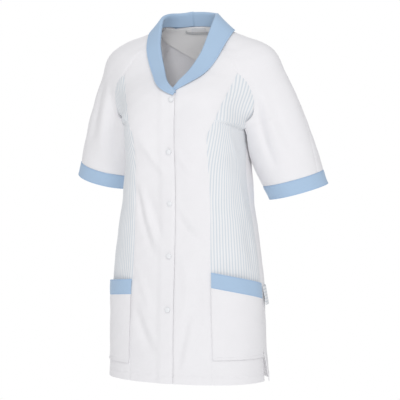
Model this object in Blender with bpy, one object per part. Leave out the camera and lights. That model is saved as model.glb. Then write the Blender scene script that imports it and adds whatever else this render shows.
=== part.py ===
"""Short-sleeved medical tunic, worn shape with nobody in it, as cut and sewn pieces of cloth.

Metres, +Z up. The front faces -Y and the wearer's left is +X. The origin is midway between the
shoulders, level with the seam at the back of the neck.
"""

import math
from collections import namedtuple

import bmesh
import bpy
import numpy as np

for old in list(bpy.data.objects):
    bpy.data.objects.remove(old, do_unlink=True)

garment = bpy.data.collections.new("medical_tunic")
bpy.context.scene.collection.children.link(garment)

# Cloth and seams
CLOTH = 0.0012
DOUBLE_CLOTH = 0.0018
SEAM_GAP = 0.00016
LAYER_GAP = 0.0004

# Heights of the garment's main lines, below the back neck seam
HEM = -0.770
ARMPIT = -0.223
NECK_POINT = -0.151
YOKE_TIP = -0.109
HIDDEN_SEAM = -0.585
POCKET_BOTTOM = -0.717
VENT_TOP = -0.690
VENT_FLARE = 0.010

# Front fastening: the wearer's right front laps over the left
OVERLAP = 0.012
OVERLAP_LIFT = 0.0026
UNDERLAP_SINK = 0.0012
SNAPS = ((0.005, -0.163), (0.0, -0.274), (0.0, -0.385), (0.0, -0.497), (0.0, -0.6115))
SNAP_RADIUS = 0.0058
SNAP_RISE = 0.0028

# Trims
CUFF_WIDTH = 0.032
CUFF_TILT = 0.12
POCKET_BAND_WIDTH = 0.033
POCKET_BAND_DROP = 0.029
POCKET_BAND_TOP = -0.530
POCKET_MOUTH = 0.0065
RIGHT_POCKET_DROP = 0.020
RIGHT_POCKET_SLANT = 0.014
BELT_WIDTH = 0.040
BELT_TOP = -0.565
BELT_STAND_OFF = 0.006
FACING_DEPTH = 0.079
FACING_SPREAD = 80
FACING_CURVE = 1.35
LABEL_SIZE = (0.036, 0.008)
LOOP_SPREAD = 0.030
LOOP_DROP = 0.0075

# Arm: a tapering tube from the shoulder joint, leaning out and a little back
SHOULDER = np.array([0.134, 0.000, -0.100])
ARM_LEAN = np.array([0.385, 0.170, -1.000])
ARM = ARM_LEAN / np.linalg.norm(ARM_LEAN)
SLEEVE_LENGTH = 0.283
RIGHT_SLEEVE_LENGTH = 0.263
SLEEVE_CLEARANCE = 0.004
ARM_WIDTHS = ((-0.05, 0.066), (0.00, 0.071), (0.13, 0.0760), (0.28, 0.0655))
ARM_DEPTHS = ((-0.05, 0.046), (0.00, 0.049), (0.13, 0.057), (0.28, 0.0535))
ARM_CAP = 0.060
BLEND = 0.050

# Level sections of the torso. front, back and middle are places on Y.
Section = namedtuple("Section", "height half_width front back middle power")
TORSO = (
    Section(-0.770, 0.1785, -0.1375, 0.108, -0.024, 2.2),
    Section(-0.640, 0.1745, -0.1345, 0.096, -0.024, 2.2),
    Section(-0.536, 0.1695, -0.1290, 0.088, -0.024, 2.2),
    Section(-0.479, 0.1615, -0.1255, 0.084, -0.024, 2.3),
    Section(-0.426, 0.1520, -0.1225, 0.083, -0.024, 2.5),
    Section(-0.391, 0.1440, -0.1212, 0.085, -0.024, 2.6),
    Section(-0.356, 0.1385, -0.1220, 0.087, -0.024, 2.8),
    Section(-0.306, 0.1335, -0.1240, 0.088, -0.022, 2.8),
    Section(-0.270, 0.1315, -0.1265, 0.088, -0.020, 2.8),
    Section(-0.222, 0.1330, -0.1265, 0.088, -0.016, 2.7),
    Section(-0.185, 0.1410, -0.1250, 0.087, -0.012, 2.5),
    Section(-0.145, 0.1560, -0.1195, 0.084, -0.008, 2.3),
    Section(-0.125, 0.1640, -0.1060, 0.082, -0.006, 2.2),
    Section(-0.106, 0.1700, -0.0880, 0.079, -0.005, 2.2),
    Section(-0.075, 0.1700, -0.0670, 0.073, -0.003, 2.2),
    Section(-0.055, 0.1580, -0.0560, 0.067, -0.002, 2.2),
    Section(-0.035, 0.1320, -0.0430, 0.059, -0.001, 2.2),
    Section(-0.016, 0.0980, -0.0340, 0.050, 0.000, 2.2),
    Section(0.000, 0.0640, -0.0300, 0.041, 0.000, 2.2),
    Section(0.030, 0.0480, -0.0260, 0.030, 0.000, 2.2),
)
Bust = namedtuple("Bust", "x y z fullness spread")
BUST = Bust(0.084, -0.112, -0.222, 0.015, 0.040)

# Side seam: its angle round the torso at each height, 90 at the wearer's left
SideSeam = namedtuple("SideSeam", "height angle")
SIDE_SEAM = (
    SideSeam(HEM, 90.0),
    SideSeam(-0.500, 90.0),
    SideSeam(-0.330, 93.0),
    SideSeam(ARMPIT, 97.0),
)

# Seams on the wearer's left, as points near the cloth. The right side mirrors them.
Point = namedtuple("Point", "x y z")
NECKLINE = (
    Point(-0.012, -0.1210, NECK_POINT),
    Point(0.0050, -0.1180, -0.1425),
    Point(0.0240, -0.1050, -0.1260),
    Point(0.0420, -0.0840, -0.1020),
    Point(0.0590, -0.0600, -0.0750),
    Point(0.0670, -0.0450, -0.0540),
    Point(0.0690, -0.0320, -0.0350),
)
FRONT_RAGLAN = (
    Point(0.0690, -0.0320, -0.0350),
    Point(0.0850, -0.0480, -0.0500),
    Point(0.1050, -0.0560, -0.0670),
    Point(0.1280, -0.0560, YOKE_TIP),
    Point(0.1480, -0.0560, -0.1260),
    Point(0.1565, -0.0460, -0.1500),
    Point(0.1590, -0.0360, -0.1680),
    Point(0.1530, -0.0280, -0.1920),
    Point(0.1400, -0.0180, -0.2140),
    Point(0.1320, -0.0040, ARMPIT),
)
FRONT_RAGLAN_TIP = 3
BACK_RAGLAN = (
    Point(0.052, 0.032, -0.004),
    Point(0.078, 0.052, -0.045),
    Point(0.102, 0.068, -0.090),
    Point(0.122, 0.073, -0.128),
    Point(0.137, 0.066, -0.163),
    Point(0.142, 0.047, -0.196),
    Point(0.139, 0.020, -0.216),
    Point(0.132, -0.004, ARMPIT),
)
PRINCESS = (
    Point(0.0965, -0.120, HEM),
    Point(0.0957, -0.120, -0.706),
    Point(0.0925, -0.118, -0.620),
    Point(0.0892, -0.113, -0.507),
    Point(0.0880, -0.110, -0.450),
    Point(0.0870, -0.108, -0.400),
    Point(0.0865, -0.114, -0.339),
    Point(0.0862, -0.125, -0.270),
    Point(0.0880, -0.130, -0.240),
    Point(0.0980, -0.115, -0.207),
    Point(0.1105, -0.095, -0.164),
    Point(0.1280, -0.056, YOKE_TIP),
)

# Collar: how high it stands and how far over the garment it falls. place is the share of the neck
# seam from the front end, at 0, to the centre back, at 1.
CollarRow = namedtuple("CollarRow", "place stand reach")
COLLAR = (
    CollarRow(0.00, 0.0015, 0.006),
    CollarRow(0.09, 0.0030, 0.013),
    CollarRow(0.20, 0.0065, 0.022),
    CollarRow(0.33, 0.0110, 0.025),
    CollarRow(0.45, 0.0160, 0.027),
    CollarRow(0.58, 0.0195, 0.031),
    CollarRow(0.70, 0.0230, 0.030),
    CollarRow(0.82, 0.0260, 0.018),
    CollarRow(1.00, 0.0270, 0.012),
)
RIGHT_REACH = 0.64
COLLAR_START = 0.0105
FACING_GAP = 0.0011
COLLAR_ROLL = 0.0034
COLLAR_REST = 0.0030
COLLAR_COLUMNS = 52

# The larger folds: from one end to the other, how wide, and how far out (or in, below zero)
Fold = namedtuple("Fold", "start end width height")
FOLDS = (
    Fold((-0.069, -0.118, -0.363), (-0.025, -0.124, -0.477), 0.015, 0.0032),
    Fold((-0.066, -0.130, -0.650), (-0.040, -0.134, -0.700), 0.014, -0.0020),
    Fold((0.060, -0.125, -0.640), (0.036, -0.130, -0.715), 0.016, 0.0022),
    Fold((0.104, -0.114, -0.214), (0.134, -0.040, -0.226), 0.011, -0.0030),
    Fold((-0.104, -0.114, -0.214), (-0.134, -0.040, -0.226), 0.011, -0.0024),
    Fold((0.156, -0.060, -0.423), (0.166, -0.050, -0.525), 0.014, -0.0026),
    Fold((0.162, -0.030, -0.200), (0.196, -0.010, -0.305), 0.014, -0.0036),
    Fold((-0.166, -0.030, -0.190), (-0.172, -0.012, -0.295), 0.014, -0.0034),
    Fold((0.165, 0.070, -0.205), (0.205, 0.085, -0.290), 0.015, 0.0030),
    Fold((-0.160, 0.068, -0.195), (-0.195, 0.082, -0.285), 0.014, -0.0030),
    Fold((-0.080, 0.078, -0.320), (-0.050, 0.082, -0.460), 0.016, 0.0032),
    Fold((0.066, 0.080, -0.340), (0.082, 0.080, -0.480), 0.016, -0.0030),
    Fold((0.020, 0.086, -0.640), (0.034, 0.098, -0.750), 0.018, 0.0026),
    Fold((-0.100, 0.070, -0.660), (-0.112, 0.080, -0.750), 0.017, -0.0026),
)

# How finely the pieces are divided
LOWER_ROWS = 6
UPPER_ROWS = 12
ABOVE_TIP_ROWS = 5
BELOW_TIP_ROWS = 6
RAGLAN_ROWS = ABOVE_TIP_ROWS + BELOW_TIP_ROWS
FRONT_COLUMNS = 8
BACK_COLUMNS = 18
TUBE_ROWS = 6
SLEEVE_COLUMNS = 20
TOP_SEAM_COLUMN = 9
POCKET_COLUMNS = 8


def smooth_step(low, high, value):
    """0 below low, 1 above high, with an easy curve between."""
    share = np.clip((value - low) / (high - low), 0.0, 1.0)
    return share * share * (3.0 - 2.0 * share)


def through(keys, values, at):
    """A smooth curve through values at rising keys, read at the places given."""
    keys = np.asarray(keys, float)
    values = np.asarray(values, float)
    slopes = np.gradient(values, keys)
    at = np.clip(at, keys[0], keys[-1])
    i = np.clip(np.searchsorted(keys, at) - 1, 0, len(keys) - 2)
    span = keys[i + 1] - keys[i]
    t = (at - keys[i]) / span
    rise = (1 + 2 * t) * (1 - t) ** 2 * values[i] + t * t * (3 - 2 * t) * values[i + 1]
    lean = t * (1 - t) ** 2 * slopes[i] - t * t * (1 - t) * slopes[i + 1]
    return rise + span * lean


def column(rows, name):
    return [getattr(row, name) for row in rows]


def torso_size(name, height):
    return through(column(TORSO, "height"), column(TORSO, name), height)


def unit(vectors):
    return vectors / np.maximum(np.linalg.norm(vectors, axis=-1, keepdims=True), 1e-12)


# The worn form. A field is below zero inside the form and above zero outside it.


def torso_field(points):
    x, y, z = points[..., 0], points[..., 1], points[..., 2]
    middle = torso_size("middle", z)
    front = middle - torso_size("front", z)
    back = torso_size("back", z) - middle
    deep = y - middle
    depth = np.where(deep < 0, front, back)
    half = torso_size("half_width", z)
    power = torso_size("power", z)
    ratio = np.maximum((np.abs(x / half) ** power + np.abs(deep / depth) ** power) ** (1 / power), 1e-6)
    away = np.hypot(x, deep) * (1 - 1 / ratio)
    to_bust = (np.abs(x) - BUST.x) ** 2 + (y - BUST.y) ** 2 + (z - BUST.z) ** 2
    return away - BUST.fullness * np.exp(-to_bust / (2 * BUST.spread**2))


ARM_IN = unit(np.array([ARM[2], 0.0, -ARM[0]]))
ARM_FRONT = np.cross(ARM_IN, ARM)


def arm_field(points):
    from_shoulder = points - SHOULDER
    from_shoulder[..., 0] = np.abs(points[..., 0]) - SHOULDER[0]
    along = from_shoulder @ ARM
    across = from_shoulder @ ARM_IN
    deep = from_shoulder @ ARM_FRONT
    places, widths = zip(*ARM_WIDTHS)
    depths = [depth for _, depth in ARM_DEPTHS]
    above = np.minimum(along, 0.0)
    wide = across / through(places, widths, along)
    thick = deep / through(places, depths, along)
    ratio = np.maximum(np.sqrt(wide**2 + thick**2 + (above / ARM_CAP) ** 2), 1e-6)
    return np.sqrt(across**2 + deep**2 + above**2) * (1 - 1 / ratio)


def soft_least(a, b):
    share = np.clip(0.5 + 0.5 * (b - a) / BLEND, 0.0, 1.0)
    return b * (1 - share) + a * share - BLEND * share * (1 - share)


def body_field(points):
    """The torso, with the arms run into it above the armpits."""
    torso = torso_field(points)
    joined = soft_least(torso, arm_field(points))
    share = smooth_step(ARMPIT - 0.005, ARMPIT + 0.045, points[..., 2])
    return torso * (1 - share) + joined * share


def sleeve_field(points):
    """The arm, with the torso run into it near the shoulder."""
    arm = arm_field(points)
    torso = torso_field(points)
    joined = soft_least(torso, arm)
    clear = np.maximum(arm, SLEEVE_CLEARANCE - torso)
    from_shoulder = points - SHOULDER
    from_shoulder[..., 0] = np.abs(points[..., 0]) - SHOULDER[0]
    along = from_shoulder @ ARM
    share = smooth_step(0.085, 0.125, along)
    return joined * (1 - share) + clear * share


def slope(field, points, step=0.0005):
    """How fast the field rises along X, Y and Z."""
    found = np.zeros(points.shape)
    for axis in range(3):
        shift = np.zeros(3)
        shift[axis] = step
        found[..., axis] = (field(points + shift) - field(points - shift)) / (2 * step)
    return found


def laid_on(field, points, rounds=8):
    """Points moved to the surface of the form by the shortest way."""
    points = np.array(points, float)
    for _ in range(rounds):
        rise = slope(field, points)
        size = np.sum(rise * rise, axis=-1, keepdims=True)
        points = points - field(points)[..., None] * rise / np.maximum(size, 1e-9)
    return points


def cast(field, start, direction, reach=0.34, step=0.004):
    """Where straight lines from inside the form first leave it."""
    low = np.full(direction.shape[:-1], step)
    found = np.zeros(low.shape, bool)
    for _ in range(int(reach / step)):
        found |= field(start + direction * (low + step)[..., None]) > 0
        low = np.where(found, low, low + step)
    high = low + step
    for _ in range(22):
        half = (low + high) / 2
        inside = field(start + direction * half[..., None]) < 0
        low = np.where(inside, half, low)
        high = np.where(inside, high, half)
    return start + direction * ((low + high) / 2)[..., None]


def at_angles(heights, angles):
    """Points on the torso at given heights and angles, 0 at the front and 90 at the wearer's left."""
    heights, angles = np.broadcast_arrays(np.asarray(heights, float), np.radians(angles))
    start = np.stack([0 * heights, torso_size("middle", heights), heights], axis=-1)
    direction = np.stack([np.sin(angles), -np.cos(angles), 0 * angles], axis=-1)
    return cast(body_field, start, direction)


def angle_of(point):
    middle = float(torso_size("middle", point[2]))
    return math.degrees(math.atan2(point[0], middle - point[1]))


def spaced(points, count):
    """A smooth line through the points, read at even spaces, ends included."""
    points = np.array(points, float)
    along = np.concatenate([[0], np.cumsum(np.linalg.norm(np.diff(points, axis=0), axis=1))])
    fine = np.linspace(0, along[-1], 400)
    line = np.stack([through(along, points[:, k], fine) for k in range(3)], axis=1)
    length = np.concatenate([[0], np.cumsum(np.linalg.norm(np.diff(line, axis=0), axis=1))])
    at = np.linspace(0, length[-1], count + 1)
    return np.stack([np.interp(at, length, line[:, k]) for k in range(3)], axis=1)


def mirrored(grid):
    """The same grid on the wearer's right, its columns still running left to right from outside."""
    return (grid * [-1.0, 1.0, 1.0])[..., ::-1, :]


def patch(bottom, top, left, right):
    """A grid between four edge lines. Rows run from bottom to top and columns from left to right."""
    v = np.linspace(0, 1, len(left))[:, None, None]
    u = np.linspace(0, 1, len(bottom))[None, :, None]
    sides = (1 - u) * left[:, None] + u * right[:, None]
    ends = (1 - v) * bottom[None] + v * top[None]
    low = (1 - u) * bottom[0] + u * bottom[-1]
    high = (1 - u) * top[0] + u * top[-1]
    return sides + ends - ((1 - v) * low + v * high)


# Seam lines, each read at the points that all pieces along it share

SIDE_HEIGHTS = np.concatenate(
    [
        np.linspace(HEM, HIDDEN_SEAM, LOWER_ROWS + 1),
        np.linspace(HIDDEN_SEAM, ARMPIT, UPPER_ROWS + 1)[1:],
    ]
)
PRINCESS_HEIGHTS = np.concatenate(
    [
        np.linspace(HEM, HIDDEN_SEAM, LOWER_ROWS + 1),
        np.linspace(HIDDEN_SEAM, YOKE_TIP, UPPER_ROWS + 1)[1:],
    ]
)


def side_angle(heights):
    return through(column(SIDE_SEAM, "height"), column(SIDE_SEAM, "angle"), heights)


side_seam = at_angles(SIDE_HEIGHTS, side_angle(SIDE_HEIGHTS))
princess_line = [through(column(PRINCESS, "z"), column(PRINCESS, name), PRINCESS_HEIGHTS) for name in "xyz"]
princess_seam = laid_on(body_field, np.stack(princess_line, axis=1))
front_raglan = laid_on(
    body_field,
    np.concatenate(
        [
            spaced(FRONT_RAGLAN[: FRONT_RAGLAN_TIP + 1], ABOVE_TIP_ROWS),
            spaced(FRONT_RAGLAN[FRONT_RAGLAN_TIP:], BELOW_TIP_ROWS)[1:],
        ]
    ),
)
front_raglan[ABOVE_TIP_ROWS] = princess_seam[-1]
front_raglan[-1] = side_seam[-1]
back_raglan = laid_on(body_field, spaced(BACK_RAGLAN, RAGLAN_ROWS))
back_raglan[-1] = side_seam[-1]
neckline = laid_on(body_field, spaced(NECKLINE, FRONT_COLUMNS))
neckline[-1] = front_raglan[0]


def along_hem(first, last, count):
    """The line round the torso between two seam points at one height."""
    line = at_angles(first[2], np.linspace(angle_of(first), angle_of(last), count + 1))
    line[0], line[-1] = first, last
    return line


# Grids of points on the form, one for each piece on the wearer's left


def front_grid():
    rows = LOWER_ROWS + UPPER_ROWS + ABOVE_TIP_ROWS
    heights = np.linspace(HEM, NECK_POINT, rows + 1)
    edge = np.stack([np.full(rows + 1, -OVERLAP), torso_size("front", heights), heights], axis=1)
    edge = laid_on(body_field, edge)
    edge[-1] = neckline[0]
    outer = np.concatenate([princess_seam, front_raglan[:ABOVE_TIP_ROWS][::-1]])
    bottom = along_hem(edge[0], outer[0], FRONT_COLUMNS)
    grid = patch(bottom, neckline, edge, outer)
    grid[1:-1, 1:-1] = laid_on(body_field, grid[1:-1, 1:-1])
    return grid


def side_grid():
    left = princess_seam[LOWER_ROWS:]
    right = side_seam[LOWER_ROWS:]
    bottom = along_hem(left[0], right[0], BELOW_TIP_ROWS)
    grid = patch(bottom, front_raglan[ABOVE_TIP_ROWS:], left, right)
    grid[1:-1, 1:-1] = laid_on(body_field, grid[1:-1, 1:-1])
    return grid


def lower_side_grid():
    left = princess_seam[: LOWER_ROWS + 1]
    right = side_seam[: LOWER_ROWS + 1]
    top = along_hem(left[-1], right[-1], BELOW_TIP_ROWS)
    bottom = along_hem(left[0], right[0], BELOW_TIP_ROWS)
    grid = patch(bottom, top, left, right)
    grid[1:-1, 1:-1] = laid_on(body_field, grid[1:-1, 1:-1])
    return grid


def back_grid():
    edge = np.concatenate([side_seam, back_raglan[:-1][::-1]])
    share = np.linspace(-1, 1, BACK_COLUMNS + 1)
    rise = ((edge[:, 2] - ARMPIT) / (edge[-1, 2] - ARMPIT)).clip(0, 1) ** 2
    heights = edge[:, 2:3] - edge[-1, 2] * rise[:, None] * (1 - share**2)[None, :]
    start = np.array([angle_of(point) for point in edge])
    angles = start[:, None] + (180 - start)[:, None] * (share + 1)[None, :]
    grid = at_angles(heights, angles)
    grid[:, 0] = edge
    grid[:, -1] = edge * [-1, 1, 1]
    return grid


NECK_CENTRE = np.array([0.030, 0.000, -0.060])
NECKWARD = unit(np.array([-0.80, 0.00, 0.60]))
ARMPIT_PLACE = float((side_seam[-1] - SHOULDER) @ ARM)


def cuffwards(share):
    """The way up the arm. Near the cuff it is tilted, so that the cuff hangs lower outside."""
    return unit(-ARM - ARM_IN * CUFF_TILT * share)


def turn_frame(centre, neckward):
    """Outward and forward directions square to the way towards the neck."""
    forward = unit(np.array([0.0, -1.0, 0.0]) + neckward * neckward[1])
    return centre, neckward, np.cross(neckward, forward), forward


def sleeve_row(frame, first, last, columns):
    """A row over the arm from the front point to the back point, by the outer side."""
    centre, neckward, outward, forward = frame
    ends = []
    for point in (first, last):
        away = point - centre
        ends.append((math.atan2(away @ forward, away @ outward), away @ neckward))
    start, stop = ends[0][0], ends[1][0]
    start = start % (2 * math.pi)
    stop = start - (start - stop) % (2 * math.pi)
    if start - stop < 0.5:
        stop = start - 2 * math.pi
    angles = np.linspace(start, stop, columns + 1)
    offsets = np.linspace(ends[0][1], ends[1][1], columns + 1)
    base = centre + neckward * offsets[:, None]
    direction = outward * np.cos(angles)[:, None] + forward * np.sin(angles)[:, None]
    row = cast(sleeve_field, base, direction)
    row[0], row[-1] = first, last
    return row


def sleeve_grid(length):
    """Rows from the cuff seam to the neck. Above the armpit they run between the raglan seams."""
    rows = []
    armpit = side_seam[-1]
    arm_centre = SHOULDER + ARM * ARMPIT_PLACE
    frame = turn_frame(arm_centre, -ARM)
    away = armpit - arm_centre
    start = math.atan2(away @ frame[3], away @ frame[2])
    cuff_seam = length - CUFF_WIDTH
    for place in np.linspace(cuff_seam, ARMPIT_PLACE, TUBE_ROWS + 1)[:-1]:
        share = (place - ARMPIT_PLACE) / (cuff_seam - ARMPIT_PLACE)
        centre, neckward, outward, forward = turn_frame(SHOULDER + ARM * place, cuffwards(share))
        first = start * (1 - share) + math.pi * share
        angles = np.linspace(first, first - 2 * math.pi, SLEEVE_COLUMNS + 1)
        direction = outward * np.cos(angles)[:, None] + forward * np.sin(angles)[:, None]
        rows.append(cast(sleeve_field, centre[None, :], direction))
    for i in range(RAGLAN_ROWS + 1):
        share = i / RAGLAN_ROWS
        centre = arm_centre * (1 - share) + NECK_CENTRE * share
        frame = turn_frame(centre, unit(-ARM * (1 - share) + NECKWARD * share))
        k = RAGLAN_ROWS - i
        rows.append(sleeve_row(frame, front_raglan[k], back_raglan[k], SLEEVE_COLUMNS))
    return np.array(rows)


def cuff_grid(length):
    rows = []
    for place in (length, length - CUFF_WIDTH / 2, length - CUFF_WIDTH + 2 * SEAM_GAP):
        centre, neckward, outward, forward = turn_frame(SHOULDER + ARM * place, cuffwards(1.0))
        angles = np.linspace(math.pi, -math.pi, SLEEVE_COLUMNS + 1)[:-1]
        direction = outward * np.cos(angles)[:, None] + forward * np.sin(angles)[:, None]
        rows.append(cast(sleeve_field, centre[None, :], direction))
    return np.array(rows)


# Folds, laps and walls of cloth


def folds(points):
    """How far the cloth stands out from the form at each point."""
    out = np.zeros(points.shape[:-1])
    for fold in FOLDS:
        start = np.array(fold.start)
        way = np.array(fold.end) - start
        share = np.clip((points - start) @ way / (way @ way), 0.0, 1.0)
        aside = np.linalg.norm(points - start - share[..., None] * way, axis=-1)
        out = out + fold.height * np.exp(-((aside / fold.width) ** 2))
    return out


def lap(points):
    """How far the right front is lifted where it lies over the left front."""
    near = smooth_step(-OVERLAP - 0.018, -OVERLAP - 0.002, points[..., 0])
    return OVERLAP_LIFT * near


def underlap(points):
    """How far the hidden edge of the left front is pressed in."""
    return -UNDERLAP_SINK * smooth_step(OVERLAP + 0.004, -OVERLAP + 0.010, points[..., 0])


def way_out(field, grid):
    """Outward directions. Where a sleeve meets the body both pieces share them."""
    found = unit(slope(field, grid))
    seam = np.concatenate([front_raglan, back_raglan])
    seam = np.concatenate([seam, seam * [-1, 1, 1]])
    flat = grid.reshape(-1, 3)
    for i, point in enumerate(flat):
        if np.min(np.sum((seam - point) ** 2, axis=1)) < 1e-12:
            both = unit(slope(body_field, point)) + unit(slope(sleeve_field, point))
            found.reshape(-1, 3)[i] = unit(both)
    return found


def drawn_in(grid, old, gaps):
    """Edges moved in by a hair, in the order bottom, top, left, right."""
    grid = grid.copy()
    bottom, top, left, right = gaps
    grid[0] += unit(old[1] - old[0]) * bottom
    grid[-1] += unit(old[-2] - old[-1]) * top
    grid[:, 0] += unit(old[:, 1] - old[:, 0]) * left
    grid[:, -1] += unit(old[:, -2] - old[:, -1]) * right
    return grid


def finish(name, colour, roughness):
    made = bpy.data.materials.new(name)
    made.use_nodes = True
    shader = made.node_tree.nodes["Principled BSDF"]
    shader.inputs["Base Color"].default_value = (*colour, 1.0)
    shader.inputs["Roughness"].default_value = roughness
    return made


WHITE = (0.86, 0.87, 0.89)
STRIPED = (0.74, 0.80, 0.87)
BLUE = (0.41, 0.57, 0.79)
PALE = (0.74, 0.73, 0.73)


def add_object(name, points, faces, colour, roughness=0.9):
    mesh = bpy.data.meshes.new(name)
    mesh.from_pydata([tuple(p) for p in points], [], faces)
    mesh.materials.append(finish(name, colour, roughness))
    mesh.shade_smooth()
    mesh.set_sharp_from_angle(angle=math.radians(40))
    made = bpy.data.objects.new(name, mesh)
    garment.objects.link(made)
    return made


def cloth_wall(name, outer, inner, colour, closed=False):
    """A wall between an outer and an inner grid. A closed one joins its last column to its first."""
    rows, columns = outer.shape[:2]
    count = rows * columns
    points = np.concatenate([outer.reshape(-1, 3), inner.reshape(-1, 3)])
    spans = columns if closed else columns - 1
    faces = []

    def corner(row, place, side):
        return side * count + row * columns + place % columns

    def apart(a, b):
        return np.linalg.norm(points[a] - points[b])

    for row in range(rows - 1):
        for c in range(spans):
            quad = [corner(row, c, 0), corner(row, c + 1, 0)]
            quad += [corner(row + 1, c + 1, 0), corner(row + 1, c, 0)]
            if apart(quad[0], quad[2]) > apart(quad[1], quad[3]):
                quad = quad[1:] + quad[:1]
            for triangle in (quad[:3], [quad[0], quad[2], quad[3]]):
                faces.append(triangle)
                faces.append([i + count for i in reversed(triangle)])
    for c in range(spans):
        faces.append([corner(0, c, 0), corner(0, c, 1), corner(0, c + 1, 1), corner(0, c + 1, 0)])
        edge = [corner(rows - 1, c, 0), corner(rows - 1, c + 1, 0)]
        faces.append(edge + [corner(rows - 1, c + 1, 1), corner(rows - 1, c, 1)])
    if not closed:
        last = columns - 1
        for row in range(rows - 1):
            near = [corner(row, 0, 0), corner(row + 1, 0, 0)]
            faces.append(near + [corner(row + 1, 0, 1), corner(row, 0, 1)])
            far = [corner(row, last, 0), corner(row, last, 1)]
            far += [corner(row + 1, last, 1), corner(row + 1, last, 0)]
            faces.append(far)
    return add_object(name, points, faces, colour)


def cloth_on(name, grid, field, colour, lift=0.0, thickness=CLOTH, gaps=(SEAM_GAP,) * 4, closed=False):
    """A piece of cloth on the form. Its outer side is raised by the folds and by lift."""
    away = way_out(field, grid)
    raised = folds(grid) + lift
    outer = drawn_in(grid + away * raised[..., None], grid, gaps)
    inner = drawn_in(grid + away * (raised - thickness)[..., None], grid, gaps)
    return cloth_wall(name, outer, inner, colour, closed)


# Body

left_front = front_grid()
right_front = mirrored(left_front)
cloth_on("front_left", left_front, body_field, WHITE, lift=underlap(left_front))
cloth_on("front_right", right_front, body_field, WHITE, lift=lap(right_front))

left_side = side_grid()
cloth_on("side_left", left_side, body_field, STRIPED)
cloth_on("side_right", mirrored(left_side), body_field, STRIPED)

left_lower = lower_side_grid()
cloth_on("lower_side_left", left_lower, body_field, WHITE)
cloth_on("lower_side_right", mirrored(left_lower), body_field, WHITE)

back = back_grid()
vent = smooth_step(0.0, 0.085, VENT_TOP + 0.012 - back[..., 2]) * VENT_FLARE
sides = np.abs(np.linspace(-1, 1, BACK_COLUMNS + 1))
vent = vent * smooth_step(0.55, 1.0, sides)[None, :]
middle = BACK_COLUMNS // 2
cloth_on("back_left", back[:, : middle + 1], body_field, WHITE, lift=vent[:, : middle + 1])
cloth_on("back_right", back[:, middle:], body_field, WHITE, lift=vent[:, middle:])

# Sleeves

left_sleeve = sleeve_grid(SLEEVE_LENGTH)
for side, whole in (("left", left_sleeve), ("right", sleeve_grid(RIGHT_SLEEVE_LENGTH))):
    for half, grid in (
        ("front", whole[:, : TOP_SEAM_COLUMN + 1]),
        ("back", whole[:, TOP_SEAM_COLUMN:]),
    ):
        grid = grid if side == "left" else mirrored(grid)
        cloth_on(f"sleeve_{half}_{side}", grid, sleeve_field, WHITE)

NO_GAPS = (0.0, 0.0, 0.0, 0.0)
for side, grid in (("left", cuff_grid(SLEEVE_LENGTH)), ("right", mirrored(cuff_grid(RIGHT_SLEEVE_LENGTH)))):
    cloth_on(f"cuff_{side}", grid, sleeve_field, BLUE, 0.0004, DOUBLE_CLOTH, NO_GAPS, True)

# Collar

first = int(np.argmax(neckline[:, 0] > COLLAR_START))
share = (COLLAR_START - neckline[first - 1, 0]) / (neckline[first, 0] - neckline[first - 1, 0])
collar_end = neckline[first - 1] * (1 - share) + neckline[first] * share
half_neck = np.concatenate([neckline[first:-1], left_sleeve[-1, :-1], back[-1, : BACK_COLUMNS // 2]])
left_half = np.concatenate([[collar_end], half_neck, [back[-1, BACK_COLUMNS // 2]]])
right_half = np.concatenate([neckline[:-1], left_sleeve[-1, :-1], back[-1, : BACK_COLUMNS // 2]])
right_half = right_half * [-1, 1, 1]
neck_seam = np.concatenate([left_half, right_half[::-1]])


def collar_grid():
    """Rows run up the stand, over the roll and down the fall. Columns run round the neck."""
    seam = laid_on(body_field, spaced(neck_seam, COLLAR_COLUMNS))
    along = unit(np.gradient(seam, axis=0))
    normal = unit(slope(body_field, seam))
    inward = unit(np.cross(normal, along))
    height = seam[:, 2]
    place = 1 - np.abs(np.linspace(-1, 1, len(seam)))
    stand = through(column(COLLAR, "place"), column(COLLAR, "stand"), place)
    reach = through(column(COLLAR, "place"), column(COLLAR, "reach"), place)
    on_right = smooth_step(0.02, -0.04, seam[:, 0])
    reach = reach * (1 - (1 - RIGHT_REACH) * on_right * smooth_step(0.0, 0.25, place))
    upright = smooth_step(-0.120, -0.020, height)[:, None]
    rise = unit(inward + upright * np.array([0.0, 0.0, 1.0]) * 1.2)
    outward = unit(normal - np.sum(normal * rise, axis=1, keepdims=True) * rise)
    lapped = np.where(np.arange(len(seam)) > len(seam) // 2, lap(seam), 0.0)
    base = seam + normal * (lapped - CLOTH / 2)[:, None]
    edge = laid_on(body_field, seam - inward * reach[:, None])
    edge = edge + unit(slope(body_field, edge)) * (COLLAR_REST + lapped)[:, None]
    rows = [base + inward * 0.0011]
    for share in (0.4, 0.8):
        rows.append(base + inward * 0.0011 + rise * (stand * share)[:, None])
    top = base + rise * (stand + 0.0011)[:, None] + outward * COLLAR_ROLL
    for turn in (150, 90, 30):
        swing = math.radians(turn)
        rows.append(top + (outward * math.cos(swing) + rise * math.sin(swing)) * COLLAR_ROLL)
    over = top + outward * COLLAR_ROLL
    for share in (0.15, 0.4, 0.7, 1.0):
        point = over * (1 - share) + edge * share
        for _ in range(4):
            short = np.maximum(COLLAR_REST + lapped - body_field(point), 0.0)
            point = point + unit(slope(body_field, point)) * short[:, None]
        rows.append(point)
    return np.array(rows)


collar_middle = collar_grid()
facing_way = unit(np.cross(np.gradient(collar_middle, axis=1), np.gradient(collar_middle, axis=0)))
half_wall = DOUBLE_CLOTH / 2
cloth_wall("collar", collar_middle + facing_way * half_wall, collar_middle - facing_way * half_wall, BLUE)

# Inside the back of the neck


def neck_height(angles):
    """Height of the neck seam at angles round the back."""
    line = np.concatenate([left_sleeve[-1], back[-1, 1 : BACK_COLUMNS // 2 + 1]])
    found = np.array([angle_of(point) for point in line])
    return np.interp(180 - np.abs(np.asarray(angles) - 180), found, line[:, 2])


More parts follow.
